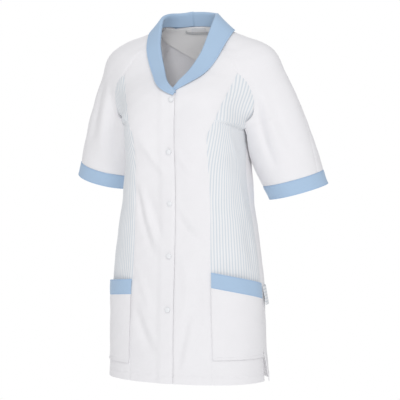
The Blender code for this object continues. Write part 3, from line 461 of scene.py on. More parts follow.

# %% [markdown]
# ## Creases
#
# Cloth creases where it is pulled between two points, as from the bust to the waist, or pushed
# together, as in the crook under the arm. Each crease here is a soft ridge or trough along a short
# bent line, set from the photograph, with others like it at the back. They are uneven in
# length and depth, as real ones are.

# %% Creases, each with start, middle, end, width and height
Crease = namedtuple("Crease", "start middle end width height")
CREASES = (
    # the front, from the bust to the waist and over the hips
    Crease((-0.069, -0.118, -0.350), (-0.052, -0.121, -0.415), (-0.025, -0.124, -0.477), 0.009, 0.0046),
    Crease((-0.082, -0.118, -0.362), (-0.066, -0.120, -0.425), (-0.040, -0.122, -0.490), 0.008, -0.0034),
    Crease((-0.050, -0.118, -0.372), (-0.034, -0.120, -0.420), (-0.014, -0.122, -0.462), 0.009, -0.0024),
    Crease((0.012, -0.124, -0.262), (0.034, -0.126, -0.300), (0.062, -0.125, -0.322), 0.009, 0.0026),
    Crease((-0.062, -0.128, -0.250), (-0.036, -0.126, -0.292), (-0.008, -0.124, -0.322), 0.010, 0.0032),
    Crease((0.022, -0.122, -0.392), (0.046, -0.120, -0.424), (0.078, -0.112, -0.440), 0.008, 0.0026),
    Crease((0.020, -0.122, -0.410), (0.042, -0.120, -0.444), (0.074, -0.112, -0.464), 0.008, -0.0022),
    Crease((-0.078, -0.130, -0.620), (-0.062, -0.132, -0.662), (-0.040, -0.134, -0.700), 0.010, -0.0036),
    Crease((-0.066, -0.130, -0.606), (-0.046, -0.132, -0.650), (-0.026, -0.134, -0.690), 0.010, 0.0028),
    Crease((-0.080, -0.128, -0.530), (-0.056, -0.130, -0.580), (-0.040, -0.132, -0.628), 0.010, 0.0028),
    Crease((0.062, -0.125, -0.610), (0.050, -0.128, -0.670), (0.034, -0.130, -0.735), 0.011, 0.0034),
    Crease((0.044, -0.125, -0.620), (0.034, -0.128, -0.680), (0.022, -0.130, -0.740), 0.010, -0.0026),
    Crease((0.030, -0.126, -0.500), (0.042, -0.128, -0.560), (0.036, -0.130, -0.620), 0.011, 0.0026),
    Crease((0.058, -0.126, -0.520), (0.066, -0.128, -0.575), (0.062, -0.130, -0.630), 0.011, -0.0022),
    # from the dart and the armpit down the striped side
    Crease((0.118, -0.092, -0.236), (0.126, -0.076, -0.262), (0.128, -0.060, -0.296), 0.009, 0.0022),
    Crease((0.140, -0.060, -0.330), (0.142, -0.056, -0.370), (0.150, -0.052, -0.420), 0.010, 0.0020),
    Crease((0.156, -0.060, -0.423), (0.158, -0.056, -0.475), (0.166, -0.050, -0.525), 0.012, -0.0028),
    Crease((-0.134, -0.070, -0.300), (-0.140, -0.064, -0.350), (-0.148, -0.058, -0.410), 0.011, 0.0020),
    Crease((0.146, 0.040, -0.260), (0.152, 0.042, -0.340), (0.164, 0.040, -0.430), 0.030, 0.0030),
    # the shoulders, pulled from the collar to the point of the shoulder
    Crease((0.078, -0.046, -0.044), (0.096, -0.048, -0.048), (0.122, -0.044, -0.058), 0.008, -0.0020),
    Crease((0.100, -0.064, -0.076), (0.116, -0.062, -0.078), (0.136, -0.056, -0.088), 0.008, 0.0018),
    Crease((0.062, -0.088, -0.104), (0.080, -0.086, -0.112), (0.100, -0.080, -0.118), 0.010, 0.0016),
    Crease((-0.080, -0.052, -0.050), (-0.104, -0.054, -0.060), (-0.128, -0.048, -0.072), 0.010, 0.0018),
    # the sleeves, from the armpit down and across the crook
    Crease((0.166, -0.036, -0.170), (0.178, -0.026, -0.236), (0.200, -0.012, -0.300), 0.010, -0.0050),
    Crease((0.182, -0.040, -0.150), (0.196, -0.034, -0.210), (0.218, -0.022, -0.272), 0.011, 0.0034),
    Crease((0.204, -0.036, -0.168), (0.216, -0.028, -0.214), (0.238, -0.014, -0.270), 0.011, -0.0024),
    Crease((0.158, -0.050, -0.128), (0.166, -0.052, -0.148), (0.172, -0.048, -0.178), 0.008, -0.0018),
    Crease((0.206, -0.030, -0.120), (0.226, -0.024, -0.180), (0.246, -0.010, -0.252), 0.018, -0.0018),
    Crease((-0.166, -0.034, -0.160), (-0.172, -0.024, -0.220), (-0.180, -0.012, -0.285), 0.010, -0.0046),
    Crease((-0.184, -0.040, -0.130), (-0.196, -0.034, -0.195), (-0.208, -0.026, -0.262), 0.011, 0.0036),
    Crease((-0.210, -0.034, -0.130), (-0.220, -0.028, -0.180), (-0.226, -0.020, -0.240), 0.011, -0.0030),
    Crease((-0.212, -0.024, -0.160), (-0.226, -0.016, -0.215), (-0.234, -0.006, -0.262), 0.013, -0.0020),
    Crease((0.165, 0.070, -0.205), (0.182, 0.078, -0.250), (0.205, 0.085, -0.290), 0.012, 0.0034),
    Crease((0.190, 0.080, -0.150), (0.204, 0.086, -0.200), (0.212, 0.090, -0.250), 0.012, -0.0024),
    Crease((-0.160, 0.068, -0.195), (-0.176, 0.076, -0.240), (-0.195, 0.082, -0.285), 0.012, -0.0032),
    Crease((-0.180, 0.076, -0.150), (-0.192, 0.084, -0.196), (-0.198, 0.088, -0.246), 0.012, 0.0026),
    # the back, towards the waist and below the belt
    Crease((-0.080, 0.078, -0.320), (-0.070, 0.080, -0.390), (-0.050, 0.082, -0.460), 0.013, 0.0038),
    Crease((0.066, 0.080, -0.340), (0.070, 0.080, -0.410), (0.082, 0.080, -0.480), 0.013, -0.0034),
    Crease((0.034, 0.084, -0.300), (0.040, 0.082, -0.372), (0.030, 0.080, -0.436), 0.012, 0.0024),
    Crease((-0.030, 0.086, -0.120), (-0.060, 0.088, -0.170), (-0.096, 0.082, -0.210), 0.014, 0.0024),
    Crease((0.044, 0.086, -0.140), (0.076, 0.086, -0.180), (0.108, 0.076, -0.214), 0.013, -0.0022),
    Crease((0.020, 0.086, -0.640), (0.024, 0.092, -0.700), (0.034, 0.098, -0.750), 0.016, 0.0030),
    Crease((-0.100, 0.070, -0.660), (-0.104, 0.075, -0.700), (-0.112, 0.080, -0.750), 0.015, -0.0030),
    Crease((0.108, 0.066, -0.650), (0.112, 0.074, -0.705), (0.118, 0.080, -0.755), 0.014, 0.0026),
)


def crease_line(crease):
    """The crease's bent line, laid on the body or on the sleeve, whichever is nearer."""
    a, b, c = (np.array(p) for p in (crease.start, crease.middle, crease.end))
    t = np.linspace(0, 1, 9)[:, None]
    line = (1 - t) ** 2 * a + 2 * t * (1 - t) * (2 * b - (a + c) / 2) + t * t * c
    laid = [laid_on(field, line) for field in (body_field, sleeve_field)]
    return min(laid, key=lambda found: float(np.linalg.norm(found - line)))


crease_lines = [crease_line(crease) for crease in CREASES]
print("creases", len(crease_lines))


def crease_height(points):
    """How far the cloth stands out from the form at each point. A crease fades at both ends."""
    out = np.zeros(points.shape[:-1])
    for crease, line in zip(CREASES, crease_lines):
        near = np.full(out.shape, 9.0)
        along = np.zeros(out.shape)
        for number, (first, last) in enumerate(zip(line[:-1], line[1:])):
            way = last - first
            share = np.clip((points - first) @ way / (way @ way), 0.0, 1.0)
            away = np.linalg.norm(points - first - share[..., None] * way, axis=-1)
            along = np.where(away < near, (number + share) / (len(line) - 1), along)
            near = np.minimum(near, away)
        fade = 0.35 + 0.65 * np.sin(np.pi * np.clip(along, 0.0, 1.0)) ** 0.7
        out = out + crease.height * fade * np.exp(-((near / crease.width) ** 2))
    return out


def drape(points):
    """A slow, uneven swell over all of the cloth."""
    x, y, z = points[..., 0], points[..., 1], points[..., 2]
    slow = np.sin(61 * x + 23 * z + 1.3) * np.sin(47 * z - 31 * y + 0.4)
    quick = np.sin(118 * x - 74 * z + 2.1) * np.sin(97 * y + 88 * z)
    return 0.0007 * slow + 0.0003 * quick


# %% [markdown]
# ## Sheets
#
# A panel is a grid of points on the form, raised by the creases. At a seam the cloth is drawn in
# along the thread and puckers a little. Solidify then gives it the cloth's thickness, inwards. Its
# UV map is in metres, so weave and stripes keep their size on every panel.

# %% A sheet from a grid
SHARP_EDGE = math.radians(48)


def arc(grid, axis):
    """Distance run along the rows or the columns of a grid."""
    step = np.linalg.norm(np.diff(grid, axis=axis), axis=-1)
    start = np.zeros_like(np.take(step, [0], axis=axis))
    return np.cumsum(np.concatenate([start, step], axis=axis), axis=axis)


seam_keys = np.concatenate([front_raglan, back_raglan])
seam_keys = {tuple(p) for p in np.round(np.concatenate([seam_keys, seam_keys * [-1, 1, 1]]), 7)}


def way_out(field, grid):
    """Outward directions. Where a sleeve meets the body both pieces share them."""
    found = unit(slope(field, grid))
    flat = found.reshape(-1, 3)
    for i, point in enumerate(grid.reshape(-1, 3)):
        if tuple(np.round(point, 7)) in seam_keys:
            flat[i] = unit(unit(slope(body_field, point)) + unit(slope(sleeve_field, point)))
    return found


def seam_draw(grid, seams, depth=0.0009, width=0.0034, pucker=0.00028):
    """Cloth drawn in along the named edges, with small puckers beside the thread."""
    total = np.zeros(grid.shape[:-1])
    across, up = arc(grid, 1), arc(grid, 0)
    sides = {
        "left": (across, up[:, :1]),
        "right": (across[:, -1:] - across, up[:, -1:]),
        "bottom": (up, across[:1]),
        "top": (up[-1:] - up, across[-1:]),
    }
    for name in seams:
        away, along = sides[name]
        ripple = np.sin(along * 2 * math.pi / 0.0125) + 0.7 * np.sin(along * 2 * math.pi / 0.0081 + 1)
        total = total - depth * np.exp(-((away / width) ** 2))
        total = total + pucker * ripple * np.exp(-away / 0.006) * (1 - np.exp(-away / 0.0015))
    return total


def set_uv(mesh, uv):
    layer = mesh.uv_layers.new(name="UVMap")
    places = np.empty(len(mesh.loops), dtype=np.int32)
    mesh.loops.foreach_get("vertex_index", places)
    layer.data.foreach_set("uv", uv.reshape(-1, 2)[places].ravel())


def apply_modifier(piece, kind, **settings):
    modifier = piece.modifiers.new(kind.lower(), kind)
    for name, value in settings.items():
        setattr(modifier, name, value)
    bpy.ops.object.select_all(action="DESELECT")
    bpy.context.view_layer.objects.active = piece
    piece.select_set(True)
    bpy.ops.object.modifier_apply(modifier=modifier.name)
    piece.select_set(False)


def sheet_mesh(name, outer, uv, finish, thickness, closed):
    """A sheet of cloth whose outer side is the grid."""
    rows, columns = outer.shape[:2]
    spans = columns - 1
    if closed:
        outer = outer[:, :-1]
        columns = columns - 1
        uv = uv[:, :-1]
    index = np.arange(rows * columns).reshape(rows, columns)
    faces = []
    for c in range(spans):
        n = (c + 1) % columns
        strip = np.stack([index[:-1, c], index[:-1, n], index[1:, n], index[1:, c]], axis=1)
        faces.extend(strip.tolist())
    mesh = bpy.data.meshes.new(name)
    mesh.from_pydata(outer.reshape(-1, 3).tolist(), [], faces)
    set_uv(mesh, uv)
    piece = bpy.data.objects.new(name, mesh)
    bpy.context.scene.collection.objects.link(piece)
    apply_modifier(piece, "SOLIDIFY", thickness=thickness, offset=-1.0, use_even_offset=False)
    mesh = piece.data
    mesh.shade_smooth()
    mesh.set_sharp_from_angle(angle=SHARP_EDGE)
    mesh.materials.append(finish)
    return piece


outer_sides = {}


def declare(piece, outer, node):
    """Keep the piece's outer side, attach it to the root and hide the solid it replaces."""
    outer_sides[node] = outer
    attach(piece, "root")
    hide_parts(node)


def panel(name, node, outer, uv, finish, thickness=CLOTH, closed=False):
    piece = sheet_mesh(name, outer, uv, finish, thickness, closed)
    declare(piece, outer, node)


def plain_uv(grid, origin=0.0):
    """Metres across and metres up, counted from a line up the grid."""
    across, up = arc(grid, 1), arc(grid, 0)
    middle = across[:, -1:] * origin
    return np.stack([across - middle, up[:, :1] + 0 * across], axis=-1)


# %% [markdown]
# ## Cloth
#
# The tunic is a polyester and cotton twill: matt, with a fine slanting rib and a faint sheen at the
# edges of its folds. The rib is a wave on the UV map, used as a small bump. Slow noise keeps the
# colour from being flat.

# %% Cloth finishes
def socket(node, name, value):
    node.inputs[name].default_value = value


def cloth_finish(name, colour, stripe=None, stripe_axis="X", rib=0.0009, sheen=0.25):
    made = bpy.data.materials.new(name)
    made.use_nodes = True
    nodes, links = made.node_tree.nodes, made.node_tree.links
    shader = nodes["Principled BSDF"]
    socket(shader, "Roughness", 0.88)
    socket(shader, "Sheen Weight", sheen)
    socket(shader, "Sheen Roughness", 0.45)
    socket(shader, "Specular IOR Level", 0.25)
    place = nodes.new("ShaderNodeTexCoord")
    shade = nodes.new("ShaderNodeTexNoise")
    socket(shade, "Scale", 21.0)
    socket(shade, "Detail", 4.0)
    links.new(place.outputs["Object"], shade.inputs["Vector"])
    spread = nodes.new("ShaderNodeMapRange")
    socket(spread, "To Min", 0.955)
    socket(spread, "To Max", 1.0)
    links.new(shade.outputs["Fac"], spread.inputs["Value"])
    tint = nodes.new("ShaderNodeMix")
    tint.data_type = "RGBA"
    tint.blend_type = "MULTIPLY"
    socket(tint, "Factor", 1.0)
    tint.inputs[6].default_value = (*colour, 1.0)
    links.new(spread.outputs["Result"], tint.inputs[7])
    if stripe:
        wave = nodes.new("ShaderNodeTexWave")
        wave.bands_direction = stripe_axis
        socket(wave, "Scale", 2 * math.pi / (20 * stripe[1]))
        links.new(place.outputs["UV"], wave.inputs["Vector"])
        ramp = nodes.new("ShaderNodeValToRGB")
        ramp.color_ramp.elements[0].position = 0.30
        ramp.color_ramp.elements[0].color = (*stripe[0], 1.0)
        ramp.color_ramp.elements[1].position = 0.52
        ramp.color_ramp.elements[1].color = (*colour, 1.0)
        links.new(wave.outputs["Color"], ramp.inputs["Fac"])
        links.new(ramp.outputs["Color"], tint.inputs[6])
    links.new(tint.outputs[2], shader.inputs["Base Color"])
    turn = nodes.new("ShaderNodeMapping")
    socket(turn, "Rotation", (0.0, 0.0, math.radians(62)))
    links.new(place.outputs["UV"], turn.inputs["Vector"])
    twill = nodes.new("ShaderNodeTexWave")
    socket(twill, "Scale", 2 * math.pi / (20 * rib))
    socket(twill, "Distortion", 0.6)
    links.new(turn.outputs["Vector"], twill.inputs["Vector"])
    bump = nodes.new("ShaderNodeBump")
    socket(bump, "Strength", 0.22)
    socket(bump, "Distance", 0.00012)
    links.new(twill.outputs["Fac"], bump.inputs["Height"])
    links.new(bump.outputs["Normal"], shader.inputs["Normal"])
    return made


WHITE = (0.865, 0.855, 0.875)
BLUE = (0.42, 0.565, 0.745)
white_cloth = cloth_finish("white_twill", WHITE)
blue_cloth = cloth_finish("blue_twill", BLUE)
STRIPED_GROUND, STRIPE, STRIPE_STEP = (0.855, 0.860, 0.875), (0.690, 0.735, 0.780), 0.0066
striped_cloth = cloth_finish("striped_twill", STRIPED_GROUND, (STRIPE, STRIPE_STEP))
belt_cloth = cloth_finish("striped_belt_twill", STRIPED_GROUND, (STRIPE, STRIPE_STEP), "Y")
# The facing is paler than the white twill as painted light: its colour is raised to make up for the shade
# inside the back of the neck.
facing_painted_light_cloth = cloth_finish("facing_painted_light", (0.93, 0.915, 0.905), rib=0.0012)
tape_cloth = cloth_finish("label_tape", (0.84, 0.84, 0.85), rib=0.0006, sheen=0.1)
# The hanger loop's mid grey is partly painted shadow: a pale tape darkened to stand for the shade under
# and beside it.
loop_painted_shadow_cloth = cloth_finish("loop_tape", (0.60, 0.60, 0.61), rib=0.0006, sheen=0.1)
print("cloth finishes ready")

# %% [markdown]
# ## Front, sides and back
#
# The right front laps over the left, so it is lifted where they overlap and the hidden edge of the
# left one is pressed in. At the side vents the back hangs a little clear of the front.

# %% The body panels
HEM_TURNED, HEM_STEP = 0.018, 0.0006
SWING_START, CURL_START = 0.6, 0.91


def turned_hem(grid):
    """The doubled cloth of the hem stands out a little, and its stitches pucker the cloth above."""
    up = grid[..., 2] - HEM
    across = arc(grid, 1)
    ripple = np.sin(across * 2 * math.pi / 0.017) + 0.6 * np.sin(across * 2 * math.pi / 0.0107 + 1)
    groove = -0.0005 * np.exp(-(((up - HEM_TURNED) / 0.003) ** 2))
    return HEM_STEP * smooth_step(HEM_TURNED, HEM_TURNED - 0.004, up) + groove * (1 + 0.5 * ripple)


def raised(grid, field, lift=0.0, seams=()):
    height = crease_height(grid) + drape(grid) + seam_draw(grid, seams) + lift
    return grid + way_out(field, grid) * height[..., None]


def lap(points):
    """The lift of the right front. Its edge is pressed down on the left one again."""
    over = smooth_step(-OVERLAP - 0.018, -OVERLAP - 0.002, points[..., 0])
    edge = smooth_step(OVERLAP - 0.006, OVERLAP, points[..., 0])
    return OVERLAP_LIFT * over - 0.0013 * edge


def underlap(points):
    return -UNDERLAP_SINK * smooth_step(OVERLAP + 0.003, OVERLAP - 0.001, points[..., 0])


left_front = front_grid()
right_front = mirrored(left_front)
front_left = raised(left_front, body_field, underlap(left_front) + turned_hem(left_front), ("right",))
front_right = raised(right_front, body_field, lap(right_front) + turned_hem(right_front), ("left",))
panel("left_front", "front_left", front_left, plain_uv(left_front), white_cloth)
panel("right_front", "front_right", front_right, plain_uv(right_front), white_cloth)

left_lower = lower_side_grid()
lower_left = raised(left_lower, body_field, turned_hem(left_lower), ("left",))
right_lower = mirrored(left_lower)
lower_right = raised(right_lower, body_field, turned_hem(left_lower)[:, ::-1], ("right",))
panel("left_lower_side", "lower_side_left", lower_left, plain_uv(left_lower), white_cloth)
panel("right_lower_side", "lower_side_right", lower_right, plain_uv(right_lower), white_cloth)

back = back_grid()
sideways = np.abs(np.linspace(-1, 1, BACK_COLUMNS + 1))
swing = 0.4 * np.clip((sideways - SWING_START) / (1 - SWING_START), 0.0, 1.0) ** 1.5
curl = 0.6 * np.clip((sideways - CURL_START) / (1 - CURL_START), 0.0, 1.0) ** 1.5
vent = smooth_step(0.0, 0.085, VENT_TOP + 0.012 - back[..., 2]) * (VENT_FLARE + 0.002)
vent = vent * (swing + curl)[None, :] + turned_hem(back)
half = BACK_COLUMNS // 2
for side, columns in (("left", slice(0, half + 1)), ("right", slice(half, None))):
    grid = back[:, columns]
    outer = raised(grid, body_field, vent[:, columns], ("left", "right"))
    panel(f"{side}_back", f"back_{side}", outer, plain_uv(grid), white_cloth)

# %% [markdown]
# ## Striped sides
#
# The sides are cut from striped cloth. A dart runs from the princess seam towards the armpit. Below
# it the stripes hang straight, and above it they lean, because the dart turns the cloth there.

# %% The striped panels
DART_FRONT, DART_BACK = -0.2075, -0.2235
DART_FOLD, DART_DROP, DART_FADE = 0.0050, 0.0032, 0.026
STRIPE_LEAN = math.radians(15.0)
STRIPE_WAY = np.array([math.cos(math.radians(52)), math.sin(math.radians(52)), 0.0])


def stripe_uv(left_grid):
    """Metres across and along the stripes on the wearer's left. Above the dart the cloth is turned."""
    across, up = arc(left_grid, 1), arc(left_grid, 0)
    rows = zip(left_grid, across)
    grain = np.array([np.interp(60.0, [angle_of(p) for p in row], run) for row, run in rows])
    u = across - grain[:, None]
    height = left_grid[..., 2]
    dart = dart_height(left_grid)
    turned = (left_grid @ STRIPE_WAY) * math.cos(STRIPE_LEAN) - (height - dart) * math.sin(STRIPE_LEAN)
    return np.stack([np.where(height > dart, turned, u), up], axis=-1)


def dart_height(left_grid):
    """The dart's line across the panel on the wearer's left."""
    across = arc(left_grid, 1)
    return DART_FRONT + (DART_BACK - DART_FRONT) * np.clip(1.5 * across / across[:, -1:], 0.0, 1.0)


def dart_fold(left_grid):
    """The cloth is full above the dart and drops sharply at its sewn line."""
    above = left_grid[..., 2] - dart_height(left_grid)
    share = arc(left_grid, 1) / arc(left_grid, 1)[:, -1:]
    strength = smooth_step(0.0, 0.16, share) * smooth_step(1.0, 0.80, share)
    full = np.exp(-((np.maximum(above, 0.0) / DART_FADE) ** 2)) * smooth_step(-DART_DROP, 0.0, above)
    return strength * (DART_FOLD * full - 0.0022 * np.exp(-(((above + DART_DROP) / 0.0045) ** 2)))


left_side = side_grid()
right_side = mirrored(left_side)
side_left = raised(left_side, body_field, dart_fold(left_side), ("left", "right", "top"))
side_right = raised(right_side, body_field, dart_fold(left_side)[:, ::-1], ("left", "right", "top"))
stripes = stripe_uv(left_side)
panel("left_side", "side_left", side_left, stripes, striped_cloth)
panel("right_side", "side_right", side_right, stripes[:, ::-1], striped_cloth)

# %% [markdown]
# ## Sleeves and cuffs
#
# A raglan sleeve runs up to the neck, between the front and the back. It is cut in two, with a seam
# from the neck over the shoulder and down the arm, which shapes the shoulder. The blue cuff is a
# closed band of doubled cloth.

# %% The sleeves and cuffs
DOUBLED_CLOTH = 0.0018
for side, length in (("left", SLEEVE_LENGTH), ("right", RIGHT_SLEEVE_LENGTH)):
    grid = sleeve_grid(length)
    cuff = tube_rows(length, length, length - CUFF_WIDTH + 0.0003, 14, False)
    if side == "right":
        grid, cuff = mirrored(grid), mirrored(cuff)
    split = TOP_SEAM if side == "left" else SLEEVE_COLUMNS - TOP_SEAM
    halves = (slice(0, split + 1), slice(split, None))
    for part, columns in zip(("front", "back") if side == "left" else ("back", "front"), halves):
        outer = raised(grid[:, columns], sleeve_field, 0.0, ("left", "right", "bottom"))
        uv = plain_uv(grid[:, columns])
        panel(f"{side}_sleeve_{part}", f"sleeve_{part}_{side}", outer, uv, white_cloth)
    outer = raised(cuff, sleeve_field, 0.0006, ("top",))
    uv = plain_uv(cuff)
    panel(f"{side}_cuff", f"cuff_{side}", outer, uv, blue_cloth, DOUBLED_CLOTH, closed=True)

# %% [markdown]
# ## Collar
#
# The flat roll collar is doubled blue cloth. It stands a little at the back of the neck, rolls over
# and lies on the shoulders. It is swept: at each point of the neck seam a short profile goes up the
# stand, round the roll and down the fall. It narrows towards both ends, where they meet in the V.

# %% The collar
CollarRow = namedtuple("CollarRow", "place stand reach")
COLLAR = (
    CollarRow(0.00, 0.0008, 0.005), CollarRow(0.09, 0.0030, 0.013), CollarRow(0.20, 0.0065, 0.022),
    CollarRow(0.33, 0.0110, 0.025), CollarRow(0.45, 0.0160, 0.027), CollarRow(0.58, 0.0195, 0.031),
    CollarRow(0.70, 0.0230, 0.030), CollarRow(0.82, 0.0260, 0.018), CollarRow(1.00, 0.0270, 0.012),
)
RIGHT_REACH, COLLAR_START, COLLAR_ROLL, COLLAR_REST, COLLAR_COLUMNS = 0.64, 0.0055, 0.0034, 0.0030, 220
STAND_STEPS = (0.0, 0.25, 0.5, 0.75, 0.95)
ROLL_TURNS = np.radians((160, 135, 110, 85, 60, 35, 12))
FALL_STEPS = (0.06, 0.14, 0.24, 0.35, 0.46, 0.57, 0.68, 0.78, 0.87, 0.94, 0.98, 1.0)

first = int(np.argmax(neckline[:, 0] > COLLAR_START))
share = (COLLAR_START - neckline[first - 1, 0]) / (neckline[first, 0] - neckline[first - 1, 0])
collar_end = neckline[first - 1] * (1 - share) + neckline[first] * share
half_back = back[-1, : BACK_COLUMNS // 2]
left_half = np.concatenate([[collar_end], neckline[first:-1], upper_sleeve[-1, :-1], half_back])
left_half = np.concatenate([left_half, [back[-1, BACK_COLUMNS // 2]]])
right_half = np.concatenate([neckline[:-1], upper_sleeve[-1, :-1], half_back]) * [-1, 1, 1]
neck_seam = np.concatenate([left_half, right_half[::-1]])


def softened(line, rounds=30):
    for _ in range(rounds):
        line[1:-1] = (line[:-2] + 2 * line[1:-1] + line[2:]) / 4
    return line


def collar_grid():
    """Rows run up the stand, over the roll and down the fall. Columns run round the neck."""
    seam = laid_on(body_field, softened(spaced(neck_seam, COLLAR_COLUMNS, 3000), 50))
    along = unit(np.gradient(seam, axis=0))
    normal = unit(softened(unit(slope(body_field, seam)), 60))
    inward = unit(np.cross(normal, along))
    place = 1 - np.abs(np.linspace(-1, 1, len(seam)))
    stand = through(column(COLLAR, "place"), column(COLLAR, "stand"), place)
    reach = through(column(COLLAR, "place"), column(COLLAR, "reach"), place)
    on_right = smooth_step(0.02, -0.04, seam[:, 0])
    reach = reach * (1 - (1 - RIGHT_REACH) * on_right * smooth_step(0.0, 0.25, place))
    upright = smooth_step(-0.120, -0.020, seam[:, 2])[:, None]
    rise = unit(inward + upright * np.array([0.0, 0.0, 1.0]) * 1.2)
    outward = unit(normal - np.sum(normal * rise, axis=1, keepdims=True) * rise)
    right_end = np.arange(len(seam)) > len(seam) // 2
    over_left = smooth_step(-OVERLAP - 0.018, -OVERLAP - 0.002, seam[:, 0])
    lapped = np.where(right_end, OVERLAP_LIFT * over_left, 0.0)
    under = np.where(right_end, 0.0, smooth_step(0.085, 0.0, place))
    roll = (COLLAR_ROLL - 0.0022 * under - 0.0012 * smooth_step(0.05, 0.0, place) * right_end)[:, None]
    rest = COLLAR_REST - 0.0012 * under
    base = seam + normal * (lapped - CLOTH / 2)[:, None]
    edge = laid_on(body_field, seam - inward * reach[:, None])
    edge = edge + unit(slope(body_field, edge)) * (rest + lapped)[:, None]
    rows = [base + inward * 0.0011 + rise * (stand * s)[:, None] for s in STAND_STEPS]
    top = base + rise * (stand + 0.0011)[:, None] + outward * roll
    for turn in ROLL_TURNS:
        rows.append(top + (outward * math.cos(turn) + rise * math.sin(turn)) * roll)
    over = top + outward * roll
    for s in FALL_STEPS:
        point = over * (1 - s) + edge * s
        for _ in range(4):
            short = np.maximum(rest + lapped - body_field(point), 0.0)
            point = point + unit(slope(body_field, point)) * short[:, None]
        rows.append(point)
    return np.array(rows)


collar_middle = collar_grid()
collar_ways = unit(np.cross(np.gradient(collar_middle, axis=1), np.gradient(collar_middle, axis=0)))
collar_out = collar_middle - collar_ways * (DOUBLED_CLOTH / 2)
collar_drawn = seam_draw(collar_middle[::-1], ("bottom",), 0.0, 0.004, 0.0001)[::-1]
collar_out = (collar_out - collar_ways * collar_drawn[..., None])[::-1]
panel("roll_collar", "collar", collar_out, plain_uv(collar_out), blue_cloth, DOUBLED_CLOTH)

# %% [markdown]
# ## Inside the neck
#
# A shaped facing covers the inside of the back neck. A bare size label and a loop of tape for
# hanging the tunic are sewn in at its middle.

# %% Facing, label and hanger loop
def neck_height(angles):
    line = np.concatenate([upper_sleeve[-1], back[-1, 1 : BACK_COLUMNS // 2 + 1]])
    found = np.array([angle_of(point) for point in line])
    return np.interp(180 - np.abs(np.asarray(angles) - 180), found, line[:, 2])


def inside_neck(angles, drops, depth):
    """Points inside the back of the neck, drops below its seam and depth in from the form."""
    points = at_angles(neck_height(angles) - drops, angles)
    return points - unit(slope(body_field, points)) * depth


def across_back(width, count):
    radius = float(torso_size("back", -0.01) - torso_size("middle", -0.01))
    return 180 + np.degrees(np.linspace(-width / 2, width / 2, count) / radius)


def inner_sheet(name, angles, drops, depth, finish, thickness, node):
    """A sheet inside the neck. Its good side faces the wearer."""
    grid = inside_neck(angles, drops, depth + thickness)[:, ::-1]
    panel(name, node, grid, plain_uv(grid, 0.5), finish, thickness)


u = np.linspace(-1, 1, 91)
v = np.linspace(0, 1, 34)[:, None]
facing_drop = 0.0012 + (0.003 + (FACING_DEPTH - 0.003) * (1 - np.abs(u) ** FACING_CURVE)) * (1 - v)
facing_angles = np.broadcast_to(180 + FACING_SPREAD * u, facing_drop.shape)
facing_depth = CLOTH + FACING_GAP
inner_sheet("neck_facing", facing_angles, facing_drop, facing_depth, facing_painted_light_cloth, CLOTH,
            "back_neck_facing")

label_angles = np.broadcast_to(across_back(LABEL_SIZE[0], 19), (7, 19))
label_drop = np.broadcast_to(0.0015 + LABEL_SIZE[1] * np.linspace(1, 0, 7)[:, None], (7, 19))
inner_sheet("bare_label", label_angles, label_drop, facing_depth + CLOTH + 0.0004, tape_cloth, 0.0007,
            "size_label")

loop_share = np.linspace(-1, 1, 61)
loop_drop = 0.0035 + LOOP_DROP * np.sqrt(np.maximum(1 - loop_share**2, 0.0))
loop_drop = loop_drop + 0.0042 * np.linspace(1, 0, 4)[:, None]
loop_angles = np.broadcast_to(across_back(2 * LOOP_SPREAD, 61), loop_drop.shape)
inner_sheet("tape_loop", loop_angles, loop_drop, facing_depth + CLOTH + 0.0015, loop_painted_shadow_cloth, 0.0009,
            "hanger_loop")

# %% [markdown]
# ## Pockets and belt
#
# Each patch pocket is caught in the seams at its sides and stitched along its bottom. Its mouth
# slants down towards the side seam, under a blue band, and stands a little open. The right one
# hangs lower than the left. A striped belt lies loose across the back.

# %% Pockets, their bands and the belt
def pocket_points(shares, heights):
    """Points on the body between the princess seam, at 0, and the side seam, at 1."""
    seam_x = through(PRINCESS_HEIGHTS, princess_seam[:, 0], heights)
    seam_y = through(PRINCESS_HEIGHTS, princess_seam[:, 1], heights)
    start = np.degrees(np.arctan2(seam_x, torso_size("middle", heights) - seam_y))
    return at_angles(heights, start + (side_angle(heights) - start) * shares)


def pocket_lift(shares, rise):
    belly = np.clip(4 * shares * (1 - shares), 0, 1) ** 0.7
    return CLOTH + 0.0004 + POCKET_MOUTH * belly * smooth_step(0.0, 1.15, rise) ** 1.1


across = np.linspace(0.012, 0.985, 41)
POCKET_CLOTHS = {
    "pocket": ("top", white_cloth, "white_cloth", CLOTH),
    "pocket_band": ("bottom", blue_cloth, "blue_cloth", 0.0015),
}
POCKET_SIDES = (("left", 0.0, POCKET_BAND_DROP), ("right", RIGHT_POCKET_DROP, RIGHT_POCKET_SLANT))
for side, drop, slant in POCKET_SIDES:
    top = POCKET_BAND_TOP - drop - slant * across**1.2
    bottom = POCKET_BOTTOM - drop * 0.8
    bag = bottom + (top - POCKET_BAND_WIDTH - bottom) * np.linspace(0, 1, 46)[:, None]
    band = top - POCKET_BAND_WIDTH * (1 - np.linspace(0, 1, 12)[:, None])
    for name, rows in (("pocket", bag), ("pocket_band", band)):
        places = np.broadcast_to(across, rows.shape)
        height = pocket_lift(places, (rows - bottom) / (top - bottom))
        grid = pocket_points(places, rows)
        if side == "right":
            grid, height = mirrored(grid), height[:, ::-1]
        if name == "pocket":
            from_bottom = arc(grid, 0)
            height = height + 0.0009 * smooth_step(0.012, 0.002, from_bottom)
            height = height - 0.0009 * np.exp(-(((from_bottom - 0.0065) / 0.0025) ** 2))
        seam, finish, slot, thickness = POCKET_CLOTHS[name]
        outer = raised(grid, body_field, height, (seam,))
        panel(f"{side}_{name}", f"{name}_{side}", outer, plain_uv(grid), finish, thickness)

